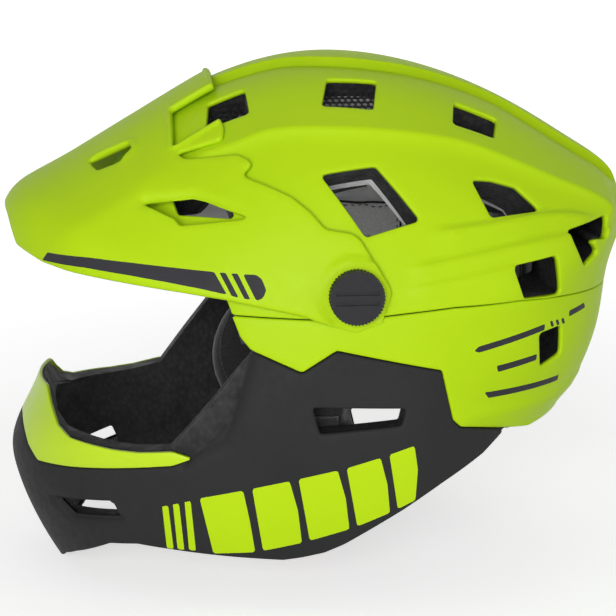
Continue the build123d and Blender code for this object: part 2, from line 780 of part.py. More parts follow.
left_strap = mirror(build_strap(blade_end + 2 * overrun), Plane.XZ)
save("chin_strap_left", left_strap)
save("chin_strap_right", build_strap(-tongue_end - tongue_pocket + overrun))
rivet = build_rivet()
save("strap_rivets", group([rivet, mirror(rivet, Plane.XZ)]))
save("strap_pad", build_strap_pad())
save("buckle_body", build_buckle_body())
save("buckle_pin", build_buckle_pin())
save("buckle_lever", build_buckle_lever())
save("buckle_tongue", build_buckle_tongue())
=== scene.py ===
import math
import bpy
import numpy as np
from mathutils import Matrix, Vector
from mathutils.geometry import delaunay_2d_cdt
from mathutils.kdtree import KDTree


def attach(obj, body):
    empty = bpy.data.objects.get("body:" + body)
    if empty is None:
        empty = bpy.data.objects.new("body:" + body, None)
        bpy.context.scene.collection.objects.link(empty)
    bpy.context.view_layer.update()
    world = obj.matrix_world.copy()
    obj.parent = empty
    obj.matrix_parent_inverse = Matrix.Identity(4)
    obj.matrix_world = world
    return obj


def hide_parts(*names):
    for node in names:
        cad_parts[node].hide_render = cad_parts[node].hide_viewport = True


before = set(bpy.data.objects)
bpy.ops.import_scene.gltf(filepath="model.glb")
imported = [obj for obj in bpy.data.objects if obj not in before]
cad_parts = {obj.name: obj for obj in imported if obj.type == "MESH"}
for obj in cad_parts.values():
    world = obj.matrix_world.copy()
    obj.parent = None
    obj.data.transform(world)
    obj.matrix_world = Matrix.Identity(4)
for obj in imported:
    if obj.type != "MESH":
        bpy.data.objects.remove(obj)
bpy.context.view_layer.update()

# Full face downhill helmet, in metres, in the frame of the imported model.
# Side view outlines are measured from the ear axis, in shares of REACH.
REACH = 0.200
HALF_WIDTH = 0.117
VISOR_HALF_WIDTH = 0.1214
WIDTH_POWER = 2.3
AXIS_HEIGHT = 0.1354
AXIS_SETBACK = 0.016
EAR_AXIS = (AXIS_SETBACK, 0, AXIS_HEIGHT)
MM = 0.001

# Distances and shares of the mesh making
GRID = 0.0115
LOOP_STEP = 0.0075
HOLE_STEP = LOOP_STEP * 0.7
SIDE_STEP = 0.5 * MM
EDGE_SHARES = (0.35, 1.0)
MOST_CUT = 0.45
STEEP_LEVEL = 0.75
NEAR = 0.06
FAR = 1.0
WHOLE_DISC = 2.0
TINY = 1e-9
RIDGE_STEP = 0.008
PART_GAP = 0.5 * MM
VENT_REACH = 0.16
SCREW_HOLE = 3.2 * MM
SEAT_WIDTH = 118.4 * MM
LIP_RISE = 1.1 * MM
POCKET_DEPTH = 4.0 * MM
POCKET_EASE = 0.1 * MM
SKIN_WALL, SKIN_EDGE = 2.4 * MM, 0.9 * MM
CHIN_WALL, CHIN_EDGE = 3.0 * MM, 1.3 * MM
INLAY_WALL, INLAY_EDGE = 2.0 * MM, 0.6 * MM
VISOR_WALL, VISOR_EDGE = 2.6 * MM, 1.4 * MM
VENT_CORNER = 2.5 * MM
HOLE_CORNER = 1.5 * MM
LINE_CORNER = 1.6 * MM
PRINT_CORNER = 0.4 * MM
BLOCK_CORNER = 1.2 * MM
INLAY_CORNER = 0.5 * MM

# Outline of the shell in side view, clockwise from the forehead
profile_shares = (
    (-0.67, 0.33), (-0.565, 0.4925), (-0.34, 0.635), (-0.11, 0.6925), (0.1, 0.68), (0.3, 0.6225),
    (0.49, 0.53), (0.62, 0.45), (0.715, 0.38), (0.7525, 0.315), (0.7225, 0.165), (0.6975, 0.0),
    (0.6525, -0.14), (0.58, -0.29), (0.49, -0.55), (0.275, -0.8), (-0.05, -0.95), (-0.4, -0.95),
    (-0.66, -0.825), (-0.785, -0.68), (-0.855, -0.555), (-0.905, -0.42), (-0.915, -0.35),
    (-0.865, -0.22), (-0.815, -0.1), (-0.765, 0.075), (-0.725, 0.22),
)
# Outline of the visor's own bulge, clockwise from the crown
visor_profile_shares = (
    (0.1, 0.71), (-0.11, 0.7225), (-0.25, 0.7), (-0.365, 0.6575), (-0.43, 0.6225), (-0.54, 0.5575),
    (-0.645, 0.495), (-0.755, 0.43), (-0.835, 0.3875), (-0.89, 0.35), (-0.92, 0.3), (-0.9275, 0.24),
    (-0.92, 0.15), (-0.89, 0.0), (-0.85, -0.2), (-0.75, -0.5), (-0.4, -0.75), (0.0, -0.8),
    (0.4, -0.65), (0.65, -0.3), (0.77, 0.0), (0.78, 0.25), (0.66, 0.5), (0.4, 0.63),
)
# Lines across the side of the helmet, from front to rear
brow_line_shares = (
    (-0.7, 0.33), (-0.62, 0.32), (-0.52, 0.29), (-0.43, 0.23), (-0.36, 0.15), (-0.345, 0.11),
)
seam_line_shares = (
    (-0.345, 0.105), (-0.13, 0.0975), (-0.015, 0.1), (0.065, 0.1075), (0.205, 0.12), (0.38, 0.1225),
    (0.555, 0.11), (0.85, 0.085),
)
jaw_line_shares = (
    (-0.3, 0.02), (-0.175, -0.035), (-0.09, 0.02), (0.065, -0.015), (0.175, -0.04), (0.21, -0.175),
    (0.23, -0.195), (0.36, -0.225),
)
cheek_edge_shares = (
    (-0.34, 0.09), (-0.325, 0.05),
)
inlay_low_shares = (
    (-0.305, 0.02), (-0.35, -0.17), (-0.445, -0.265), (-0.495, -0.29), (-0.625, -0.31),
    (-0.755, -0.33), (-0.84, -0.34), (-0.865, -0.31), (-0.885, -0.265), (-0.975, -0.255),
)
inlay_top_shares = (
    (-0.445, -0.265), (-0.495, -0.25), (-0.58, -0.26), (-0.645, -0.26), (-0.7, -0.255),
    (-0.755, -0.25), (-0.785, -0.23), (-0.805, -0.19), (-0.815, -0.1575), (-0.925, -0.15),
)
rim_line_shares = (
    (-0.7875, -0.685), (-0.785, -0.635), (-0.745, -0.5975), (-0.655, -0.5375), (-0.585, -0.525),
    (-0.495, -0.53), (-0.325, -0.5425), (-0.215, -0.55), (-0.165, -0.5425), (-0.11, -0.53),
    (-0.06, -0.5075), (0.09, -0.415), (0.19, -0.3475), (0.3, -0.28), (0.36, -0.23),
)
neck_line_shares = (
    (0.36, -0.23), (0.45, -0.2475), (0.53, -0.2425), (0.65, -0.2325), (0.85, -0.2275),
)

# Vents: tilt of the hole above level in degrees, and its outline
vent_table = (
    (15.0, ((-0.49, 0.285), (-0.36, 0.3), (-0.33, 0.2), (-0.47, 0.22))),
    (45.0, ((-0.38, 0.2865), (-0.285, 0.311), (-0.28, 0.198), (-0.39, 0.177))),
    (45.0, ((-0.075, 0.304), (0.055, 0.3005), (0.03, 0.173), (-0.1, 0.1875))),
    (30.0, ((-0.12, 0.1485), (0.02, 0.1685), (0.125, 0.026), (-0.015, -0.017))),
    (45.0, ((0.255, 0.251), (0.37, 0.2225), (0.345, 0.131), (0.235, 0.152))),
    (30.0, ((0.265, 0.1445), (0.32, 0.1475), (0.385, 0.1375), (0.45, 0.0785), (0.31, 0.044))),
    (0.0, ((0.355, 0.21), (0.48, 0.225), (0.5, 0.12), (0.39, 0.125))),
    (0.0, ((0.44, 0.025), (0.51, 0.035), (0.515, -0.045), (0.45, -0.07))),
    (0.0, ((0.51, 0.28), (0.65, 0.3), (0.64, 0.24), (0.585, 0.25), (0.615, 0.21), (0.57, 0.18))),
)
# Openings of the chin bar
cheek_vent_shares = (
    (-0.15, -0.125), (0.085, -0.135), (0.075, -0.18), (-0.13, -0.195),
)
chin_vent_shares = (
    (-0.8, -0.44), (-0.705, -0.42), (-0.645, -0.41), (-0.625, -0.455), (-0.755, -0.48),
)
# Arm and edge of the visor from its front to the notch, its openings and its screw
visor_outline_shares = (
    (-0.95, 0.35), (-0.905, 0.295), (-0.88, 0.23), (-0.81, 0.2025), (-0.745, 0.1925),
    (-0.615, 0.18), (-0.47, 0.165), (-0.36, 0.15), (-0.18, 0.1125), (-0.135, 0.095),
    (-0.045, 0.0675), (0.02, 0.09), (0.045, 0.16), (0.04, 0.18), (0.015, 0.22), (-0.03, 0.295),
    (-0.05, 0.31), (-0.115, 0.32), (-0.15, 0.36), (-0.195, 0.395), (-0.255, 0.42), (-0.315, 0.44),
    (-0.28, 0.47), (-0.32, 0.4875), (-0.445, 0.47), (-0.47, 0.48), (-0.355, 0.5175), (-0.35, 0.545),
)
visor_slot_shares = (
    (-0.69, 0.44), (-0.585, 0.49), (-0.575, 0.48), (-0.605, 0.45), (-0.665, 0.425),
)
visor_window_shares = (
    (-0.56, 0.365), (-0.435, 0.385), (-0.405, 0.38), (-0.305, 0.345), (-0.315, 0.34),
    (-0.465, 0.32), (-0.48, 0.335),
)
knob_shares = (-0.045, 0.16)
# One half of the strap from its rivet: distance from the centre plane, and height
strap_path_shares = (
    (0.496, -0.170), (0.485, -0.275), (0.466, -0.370), (0.450, -0.430),
    (0.410, -0.482), (0.330, -0.512), (0.250, -0.5235), (0.200, -0.525),
)
strap_run_share = -0.525

# Curved surfaces

def unit(ways):
    return ways / np.linalg.norm(ways, axis=1)[:, None]


def run_along(line):
    """Distance of each point of a line from its start."""
    return np.concatenate([[0], np.cumsum(np.linalg.norm(np.diff(line, axis=0), axis=1))])


def looped(line):
    """Line with its first point again at its end."""
    return np.vstack([line, line[:1]])


def smooth(share):
    share = np.clip(share, 0, 1)
    return share * share * (3 - 2 * share)


def closed_curve(points, count=2400):
    """Smooth closed curve through points, as angles and distances about the ear axis."""
    total = len(points)
    knots = run_along(looped(points))
    step = np.diff(knots)
    before = np.roll(step, 1)
    slope = np.diff(looped(points), axis=0) / step[:, None]
    one = np.eye(total)
    matrix = np.diag(2 * (before + step))
    matrix += np.roll(one, 1, 1) * step[:, None] + np.roll(one, -1, 1) * before[:, None]
    bend = np.linalg.solve(matrix, 6 * (slope - np.roll(slope, 1, 0)))
    place = np.linspace(0, knots[-1], count, endpoint=False)
    first = np.clip(np.searchsorted(knots, place, side="right") - 1, 0, total - 1)
    second = (first + 1) % total
    width = step[first][:, None]
    low = place[:, None] - knots[first][:, None]
    high = width - low
    curve = high**3 / (6 * width) * bend[first] + low**3 / (6 * width) * bend[second]
    curve += high * (points[first] / width - bend[first] * width / 6)
    curve += low * (points[second] / width - bend[second] * width / 6)
    angle = np.mod(np.arctan2(curve[:, 1], curve[:, 0]), 2 * np.pi)
    order = np.argsort(angle)
    return angle[order], np.hypot(curve[:, 0], curve[:, 1])[order]


class Bulge:
    """Body of one side profile, widest at the ear axis. Its left half unrolls to a unit disc."""

    def __init__(self, shares, half_width):
        self.half = half_width
        angle, reach = closed_curve(np.array(shares) * REACH)
        turn = 2 * np.pi
        self.angles = np.concatenate([angle - turn, angle, angle + turn])
        self.reaches = np.tile(reach, 3)

    def reach(self, angle):
        return np.interp(np.mod(angle, 2 * np.pi), self.angles, self.reaches)

    def level(self, side):
        """Share of the way from the ear axis to the profile, for side view points."""
        return np.hypot(side[:, 0], side[:, 1]) / self.reach(np.arctan2(side[:, 1], side[:, 0]))

    def width(self, level):
        return self.half * np.sqrt(np.clip(1 - level**WIDTH_POWER, 0, 1))

    def flat(self, angle, level, far_half=False):
        spread = np.arcsin(np.clip(level, 0, 1)) * 2 / np.pi
        spread = np.where(far_half, 2 - spread, spread)
        return np.stack([spread * np.cos(angle), spread * np.sin(angle)], 1)

    def from_side(self, side):
        return self.flat(np.arctan2(side[:, 1], side[:, 0]), self.level(side))

    def from_point(self, point):
        """Unrolled place of points near the surface; past the centre plane it lies outside the disc."""
        angle = np.arctan2(point[:, 2], point[:, 0])
        by_reach = np.hypot(point[:, 0], point[:, 2]) / self.reach(angle)
        share = np.clip(np.abs(point[:, 1]) / self.half, 0, 1)
        by_width = (1 - share**2) ** (1 / WIDTH_POWER)
        return self.flat(angle, np.where(by_reach > STEEP_LEVEL, by_width, by_reach), point[:, 1] > 0)

    def from_top(self, x, y):
        """Unrolled place of an upper point given by its place along X and Y."""
        level = (1 - (y / self.half) ** 2) ** (1 / WIDTH_POWER)
        angles = np.linspace(0.05, np.pi - 0.05, 4000)
        row = level * self.reach(angles) * np.cos(angles)
        best = angles[np.argmin(np.abs(row - x))]
        return self.flat(np.array([best]), np.array([level]))[0]

    def place(self, flat):
        """Points of the left half, from unrolled places."""
        spread = np.hypot(flat[:, 0], flat[:, 1])
        angle = np.arctan2(flat[:, 1], flat[:, 0])
        level = np.sin(spread * np.pi / 2)
        reach = level * self.reach(angle)
        width = np.where(spread > 1, -self.width(level), self.width(level))
        return np.stack([reach * np.cos(angle), -width, reach * np.sin(angle)], 1)

    def normal(self, flat, step=2e-3):
        along = self.place(flat + [step, 0]) - self.place(flat - [step, 0])
        up = self.place(flat + [0, step]) - self.place(flat - [0, step])
        return unit(np.cross(along, up))


def rounded(points, radius, closed=True):
    """Polygon with each corner eased by an arc-like curve."""
    points = np.asarray(points, float)
    total = len(points)
    result = []
    for index in range(total):
        here = points[index]
        if not closed and index in (0, total - 1):
            result.append(here)
            continue
        before = points[index - 1] - here
        after = points[(index + 1) % total] - here
        long_before = np.linalg.norm(before)
        long_after = np.linalg.norm(after)
        cosine = np.clip(before @ after / (long_before * long_after), -1, 1)
        half_turn = (math.pi - math.acos(cosine)) / 2
        cut = min(radius * math.tan(half_turn), MOST_CUT * long_before, MOST_CUT * long_after)
        start = here + before / long_before * cut
        end = here + after / long_after * cut
        for share in np.linspace(0, 1, 6):
            result.append((1 - share) ** 2 * start + 2 * share * (1 - share) * here + share**2 * end)
    return np.array(result)


def resampled(line, step, closed=False):
    """Line with even spacing."""
    if closed:
        line = looped(line)
    gaps = np.linalg.norm(np.diff(line, axis=0), axis=1)
    line = line[np.concatenate([[True], gaps > 1e-9])]
    run = run_along(line)
    count = max(int(round(run[-1] / step)), 2)
    spots = np.linspace(0, run[-1], count + 1)
    if closed:
        spots = spots[:-1]
    return np.stack([np.interp(spots, run, line[:, axis]) for axis in range(line.shape[1])], 1)


def on_rim(bulge, spot):
    """Unrolled place on the centre plane in the direction of a side view point."""
    return bulge.flat(np.array([math.atan2(spot[1], spot[0])]), np.array([1.0]))[0]


def crossing(bulge, side):
    """Unrolled line of a side view line, cut where it leaves the profile."""
    dense = resampled(np.asarray(side, float), 0.4 * MM)
    inside = np.where(bulge.level(dense) < 1)[0]
    first, last = inside[0], inside[-1]
    flat = list(bulge.from_side(dense[first:last + 1]))
    if first > 0:
        flat.insert(0, on_rim(bulge, dense[first]))
    if last < len(dense) - 1:
        flat.append(on_rim(bulge, dense[last]))
    return np.array(flat)


def rim_arc(start, end, step, rising):
    """Points on the centre plane between two ends of a line, not counting the ends."""
    first = math.atan2(start[1], start[0])
    last = math.atan2(end[1], end[0])
    if rising and last < first:
        last += 2 * math.pi
    if not rising and last > first:
        last -= 2 * math.pi
    count = max(int(abs(last - first) / step), 2)
    angles = np.linspace(first, last, count + 1)[1:-1]
    return np.stack([np.cos(angles), np.sin(angles)], 1)


def within(points, loop):
    """Whether points lie inside a closed loop."""
    inside = np.zeros(len(points), bool)
    x, y = points[:, 0], points[:, 1]
    for (x1, y1), (x2, y2) in zip(loop, np.roll(loop, -1, 0)):
        if y1 == y2:
            continue
        band = (y1 > y) != (y2 > y)
        inside ^= band & (x < (x2 - x1) * (y - y1) / (y2 - y1) + x1)
    return inside


def nearest(points, line, reach):
    """Distance of points from a line, the run to the nearest place, and the piece of the line it lies on."""
    best = np.full(len(points), FAR)
    along = np.zeros(len(points))
    piece = np.zeros(len(points), int)
    run = run_along(line)
    near = np.where(((points > line.min(0) - reach) & (points < line.max(0) + reach)).all(1))[0]
    for index in range(len(line) - 1):
        way = line[index + 1] - line[index]
        size = way @ way
        away = points[near] - line[index]
        share = np.clip(away @ way / size, 0, 1)
        gap = np.linalg.norm(away - share[:, None] * way, axis=1)
        closer = gap < best[near]
        found = near[closer]
        best[found] = gap[closer]
        along[found] = run[index] + share[closer] * math.sqrt(size)
        piece[found] = index
    return best, along, piece


def distance_from(points, line):
    return nearest(points, line, NEAR)[0]


def left_of(flat, line):
    """Whether unrolled points lie to the left of an unrolled line."""
    _, _, piece = nearest(flat, line, WHOLE_DISC)
    way = line[piece + 1] - line[piece]
    away = flat - line[piece]
    return way[:, 0] * away[:, 1] > way[:, 1] * away[:, 0]


def beside(bulge, line, distances, closed=False):
    """Unrolled lines at the given distances from a line, counted to its left."""
    spots = bulge.place(line)
    if closed:
        ahead = np.roll(spots, -1, 0) - np.roll(spots, 1, 0)
    else:
        ahead = np.gradient(spots, axis=0)
    left = np.cross(bulge.normal(line), unit(ahead))
    return [bulge.from_point(spots + distance * left) for distance in distances]


def smooth_line(points, count=12):
    """Curve through points."""
    points = np.asarray(points, float)
    result = []
    total = len(points)
    for index in range(total - 1):
        p0 = points[max(index - 1, 0)]
        p1 = points[index]
        p2 = points[index + 1]
        p3 = points[min(index + 2, total - 1)]
        for share in np.linspace(0, 1, count, endpoint=False):
            a = 2 * p1
            b = p2 - p0
            c = 2 * p0 - 5 * p1 + 4 * p2 - p3
            d = -p0 + 3 * p1 - 3 * p2 + p3
            result.append((a + b * share + c * share**2 + d * share**3) / 2)
    result.append(points[-1])
    return np.array(result)


# Meshes

def spots_of(mesh, what="co"):
    """Places of a mesh's points, or their normals."""
    flat = np.empty(len(mesh.vertices) * 3)
    mesh.vertices.foreach_get(what, flat)
    return flat.reshape(-1, 3)


def set_spots(mesh, spots):
    mesh.vertices.foreach_set("co", spots.ravel())


def object_of(name, data):
    made = bpy.data.objects.new(name, data)
    bpy.context.scene.collection.objects.link(made)
    return made


def round_shaded(mesh):
    mesh.polygons.foreach_set("use_smooth", np.ones(len(mesh.polygons), dtype=bool))


def mesh_object(name, verts, faces, materials, indices):
    """Smooth shaded mesh object with a material index for each face."""
    mesh = bpy.data.meshes.new(name)
    mesh.from_pydata(verts, [], faces)
    for finish in materials:
        mesh.materials.append(finish)
    mesh.polygons.foreach_set("material_index", np.asarray(indices, dtype=np.int32))
    round_shaded(mesh)
    mesh.validate()
    mesh.update()
    return object_of(name, mesh)


def border_rings(bulge, line, closed, region, edge_round):
    """Lines inside a border that carry its rounding."""
    rings = []
    for share in EDGE_SHARES:
        sides = beside(bulge, line, (edge_round * share, -edge_round * share), closed)
        scores = [region(side).mean() for side in sides]
        ring = sides[0] if scores[0] >= scores[1] else sides[1]
        if not closed:
            ring = ring[np.hypot(ring[:, 0], ring[:, 1]) < 1]
            ring[0] /= np.hypot(*ring[0])
            ring[-1] /= np.hypot(*ring[-1])
        rings.append((ring, closed))
    return rings


def triangulated(constraints, region, low, high):
    """Even triangles of a region that follow the given lines."""
    points = []
    edges = []
    for line, closed in constraints:
        first = len(points)
        points.extend(line)
        edges.extend((first + i, first + i + 1) for i in range(len(line) - 1))
        if closed:
            edges.append((first + len(line) - 1, first))
    tree = KDTree(len(points))
    for index, spot in enumerate(points):
        tree.insert((spot[0], spot[1], 0), index)
    tree.balance()
    spots = []
    for row, height in enumerate(np.arange(low[1], high[1], GRID * math.sqrt(3) / 2)):
        lead = GRID / 2 if row % 2 else 0.0
        spots += [(across, height) for across in np.arange(low[0] + lead, high[0], GRID)]
    spots = np.array(spots)
    spots = spots[region(spots)]
    spots = spots[np.array([tree.find((x, y, 0))[2] > GRID / 2 for x, y in spots])]
    everything = np.vstack([np.array(points), spots])
    result = delaunay_2d_cdt([Vector(p) for p in everything], edges, [], 0, 1e-7)
    flat = np.array([tuple(v) for v in result[0]])
    triangles = np.array([f for f in result[2] if len(f) == 3])
    triangles = triangles[region(flat[triangles].mean(1))]
    used = np.unique(triangles)
    renumber = np.full(len(flat), -1)
    renumber[used] = np.arange(len(used))
    flat = flat[used]
    triangles = renumber[triangles]
    corner = flat[triangles]
    turn = np.cross(corner[:, 1] - corner[:, 0], corner[:, 2] - corner[:, 0])
    return flat, np.where(turn[:, None] > 0, triangles, triangles[:, ::-1])


def open_edges(triangles):
    """Edges of only one triangle, in that triangle's order."""
    found = {}
    for triangle in triangles:
        for i in range(3):
            pair = (triangle[i], triangle[(i + 1) % 3])
            key = (min(pair), max(pair))
            found[key] = None if key in found else pair
    return [pair for pair in found.values() if pair]


def panel(name, bulge, outline, holes, materials, wall, edge_round, relief, paints=(), lines=()):
    """Moulded skin over both halves of a bulge.

    outline is an unrolled loop whose points on the centre plane lie on the unit circle."""
    on_centre = np.hypot(outline[:, 0], outline[:, 1]) > 1 - 1e-7
    start = np.where(~on_centre)[0][0]
    while not on_centre[start - 1]:
        start -= 1
    outline = np.roll(outline, -start, 0)
    last = np.where(~np.roll(on_centre, -start))[0][-1]
    free_line = np.vstack([outline[-1:], outline[:last + 2]])

    def inside_outline(flat):
        return within(flat, outline)

    def region(flat):
        keep = within(flat, outline)
        for hole in holes:
            keep &= ~within(flat, hole)
        return keep

    borders = [(free_line, False)] + [(hole, True) for hole in holes]
    constraints = [(outline, True)] + borders[1:]
    constraints += border_rings(bulge, free_line, False, inside_outline, edge_round)
    for hole in holes:
        constraints += border_rings(bulge, hole, True, lambda flat, h=hole: ~within(flat, h), edge_round)
    constraints += [(line, False) for line in lines]
    constraints += [(loop, True) for loop, _ in paints]
    flat, triangles = triangulated(constraints, region, outline.min(0), outline.max(0))
    middle = flat[triangles].mean(1)
    paint_index = np.zeros(len(triangles), int)
    for loop, index in paints:
        paint_index[within(middle, loop)] = index

    base = bulge.place(flat)
    normal = bulge.normal(flat)
    centre = np.hypot(flat[:, 0], flat[:, 1]) > 1 - 1e-6
    height = relief(base, flat)
    for line, closed in borders:
        edge = bulge.place(looped(line) if closed else line)
        inner = np.clip(edge_round - distance_from(base, edge), 0, edge_round)
        height = height - (edge_round - np.sqrt(edge_round**2 - inner**2))
    verts = np.vstack([base + normal * height[:, None], base - normal * wall])
    double_centre = np.concatenate([centre, centre])
    verts[double_centre, 1] = 0

    total = len(flat)
    rim = [pair for pair in open_edges(triangles) if not (centre[pair[0]] and centre[pair[1]])]
    faces = [tuple(t) for t in triangles] + [tuple(t[::-1] + total) for t in triangles]
    faces += [(b, a, a + total, b + total) for a, b in rim]
    index = list(paint_index) + [0] * (len(triangles) + len(rim))
    mirror_index = np.arange(2 * total)
    keep = ~double_centre
    mirror_index[keep] = 2 * total + np.arange(keep.sum())
    mirrored = [tuple(mirror_index[v] for v in face[::-1]) for face in faces]
    faces = [tuple(int(v) for v in face) for face in faces + mirrored]
    verts = np.vstack([verts, verts[keep] * [1, -1, 1]]) + EAR_AXIS
    return mesh_object(name, verts.tolist(), faces, materials, index + index)


# Materials

def fill(tree, made, sockets):
    """Gives inputs of a shader node a value or another node's output."""
    for socket, value in sockets.items():
        if isinstance(value, bpy.types.NodeSocket):
            tree.links.new(value, made.inputs[socket])
        else:
            made.inputs[socket].default_value = value


def node(tree, kind, sockets=None, **settings):
    """New shader node."""
    made = tree.nodes.new("ShaderNode" + kind)
    for setting, value in settings.items():
        setattr(made, setting, value)
    fill(tree, made, sockets or {})
    return made


def on_object(tree):
    return node(tree, "TexCoord").outputs["Object"]


def material(name, colour, roughness, sockets=None):
    """Material with a Principled shader, and its nodes to add detail to."""
    made = bpy.data.materials.new(name)
    made.use_nodes = True
    tree = made.node_tree
    shader = tree.nodes["Principled BSDF"]
    fill(tree, shader, {"Base Color": (*colour, 1), "Roughness": roughness, **(sockets or {})})
    return made, tree, shader


def noise(tree, scale, detail=4.0):
    sockets = {"Scale": scale, "Detail": detail, "Roughness": 0.55, "Vector": on_object(tree)}
    return node(tree, "TexNoise", sockets).outputs["Fac"]


def cells(tree, pitch):
    return node(tree, "TexVoronoi", {"Scale": pitch, "Vector": on_object(tree)}).outputs["Distance"]


def ramp(tree, source, low, high, stops):
    """Colours or levels of grey at two places along a source."""
    made = node(tree, "ValToRGB", {"Fac": source})
    for element, place, colour in zip(made.color_ramp.elements, stops, (low, high)):
        element.position = place
        element.color = (*colour, 1)
    return made.outputs["Color"]


def bump(tree, shader, source, strength, distance):
    made = node(tree, "Bump", {"Strength": strength, "Distance": distance, "Height": source})
    fill(tree, shader, {"Normal": made.outputs["Normal"]})


def worn(tree, shader, low, high, scale=220.0):
    """Roughness that varies at the scale of handling marks."""
    greys = ((low, low, low), (high, high, high))
    fill(tree, shader, {"Roughness": ramp(tree, noise(tree, scale, 5.0), *greys, (0.35, 0.7))})


def moulded(name, dark, light, low, high, grain=2600.0, strength=0.12, shine=0.5):
    """Moulded plastic with a fine grain and a colour that drifts a little."""
    made, tree, shader = material(name, light, high, {"Specular IOR Level": shine})
    fill(tree, shader, {"Base Color": ramp(tree, noise(tree, 14.0, 3.0), dark, light, (0.3, 0.7))})
    worn(tree, shader, low, high)
    bump(tree, shader, noise(tree, grain, 2.0), strength, GRAIN_DEPTH)
    return made


def foam(name, dark, light):
    """Expanded foam with its beads pressed together."""
    made, tree, shader = material(name, light, 0.8, {"Specular IOR Level": 0.35})
    beads = cells(tree, 300.0)
    fill(tree, shader, {"Base Color": ramp(tree, beads, light, dark, (0.0, 0.75))})
    worn(tree, shader, 0.6, 0.9, 90.0)
    bump(tree, shader, beads, 0.5, -BEAD_DEPTH)
    return made


def backdrop_pale_core(made, centre, halves, pale):
    """Painted light: the foam inside an egg is made pale, standing in for the white backdrop seen through the
    vents.
    """
    tree = made.node_tree
    shader = tree.nodes["Principled BSDF"]
    source = shader.inputs["Base Color"].links[0].from_socket
    shift = node(tree, "VectorMath", {0: on_object(tree), 1: centre}, operation="SUBTRACT")
    shrink = node(tree, "VectorMath", {0: shift.outputs[0], 1: halves}, operation="DIVIDE")
    length = node(tree, "VectorMath", {0: shrink.outputs[0]}, operation="LENGTH")
    inside = node(tree, "Math", {0: length.outputs["Value"], 1: 1.0}, operation="LESS_THAN")
    mix = node(tree, "Mix", {0: inside.outputs[0], 6: source, 7: (*pale, 1)}, data_type="RGBA")
    fill(tree, shader, {"Base Color": mix.outputs[2]})


def cloth(name, dark, light, pitch=900.0):
    """Knitted lining over foam."""
    made, tree, shader = material(name, light, 0.9, {"Sheen Weight": 0.3, "Sheen Roughness": 0.5})
    knit = cells(tree, pitch)
    fill(tree, shader, {"Base Color": ramp(tree, knit, light, dark, (0.0, 0.6))})
    bump(tree, shader, knit, 0.6, -KNIT_DEPTH)
    return made


def grey(level, blue=0.0):
    return (level, level, level + blue)


SOFT_SHINE = 0.10
GRAIN_DEPTH = 0.2 * MM
BEAD_DEPTH = 0.6 * MM
KNIT_DEPTH = 0.4 * MM
lime = moulded("lime_plastic", (0.435, 0.665, 0.007), (0.455, 0.690, 0.008), 0.42, 0.52, shine=SOFT_SHINE)
lime_print = moulded("lime_print", (0.48, 0.72, 0.008), (0.50, 0.74, 0.009), 0.45, 0.55, shine=SOFT_SHINE)
# Painted highlight: the inlay's lime is lighter than the shell's, standing in for the sheen on its upward
# facing surface.
inlay_sheen_lime = moulded("inlay_sheen_lime", (0.50, 0.73, 0.012), (0.54, 0.77, 0.014), 0.30, 0.42, shine=0.35)
dark = moulded("dark_plastic", grey(0.023, 0.001), grey(0.028, 0.001), 0.58, 0.72, shine=SOFT_SHINE)
dark_print = moulded("dark_print", grey(0.032, 0.004), grey(0.037, 0.005), 0.5, 0.65, shine=SOFT_SHINE)
black_plastic = moulded("black_plastic", grey(0.012, 0.001), grey(0.018, 0.001), 0.35, 0.55, shine=0.3)
knob_plastic = moulded("knob_plastic", grey(0.019, 0.003), grey(0.024, 0.004), 0.45, 0.62, 1800.0, 0.25, 0.16)
mesh_plastic = moulded("mesh_plastic", grey(0.012, 0.001), grey(0.02, 0.001), 0.4, 0.6)
red_plastic = moulded("lever_plastic", (0.45, 0.02, 0.015), (0.55, 0.03, 0.02), 0.35, 0.5)
rubber = moulded("rubber", grey(0.006), grey(0.010), 0.55, 0.75, 1400.0, 0.3, 0.25)
brass = moulded("brass", (0.70, 0.50, 0.20), (0.82, 0.62, 0.28), 0.25, 0.4)
steel = moulded("steel", grey(0.52), grey(0.62, 0.01), 0.25, 0.4)
for metal in (brass, steel):
    metal.node_tree.nodes["Principled BSDF"].inputs["Metallic"].default_value = 1.0
liner_foam = foam("liner_foam", grey(0.012, 0.001), grey(0.040, 0.003))
# Painted light: the liner foam is pale inside this egg, where sight lines through the vents land, standing in
# for the white backdrop seen through them.
backdrop_pale_core(liner_foam, (0.014, 0.0, 0.1704), (0.104, 0.0885, 0.092), grey(0.86))
jaw_foam = foam("jaw_foam", grey(0.008, 0.001), grey(0.020, 0.001))
# Painted light: the crown and temple pads are pale, standing in for the white backdrop seen through the
# vents.
backdrop_pale_cloth = cloth("backdrop_pale_cloth", grey(0.72), grey(0.90))
pad_cloth = cloth("pad_cloth", grey(0.004), grey(0.018))
webbing = cloth("webbing", grey(0.006), grey(0.022), 1300.0)
piping_cloth = cloth("piping_cloth", grey(0.010), grey(0.026), 1500.0)
thread = cloth("thread", grey(0.05, 0.002), grey(0.09, 0.002), 2400.0)

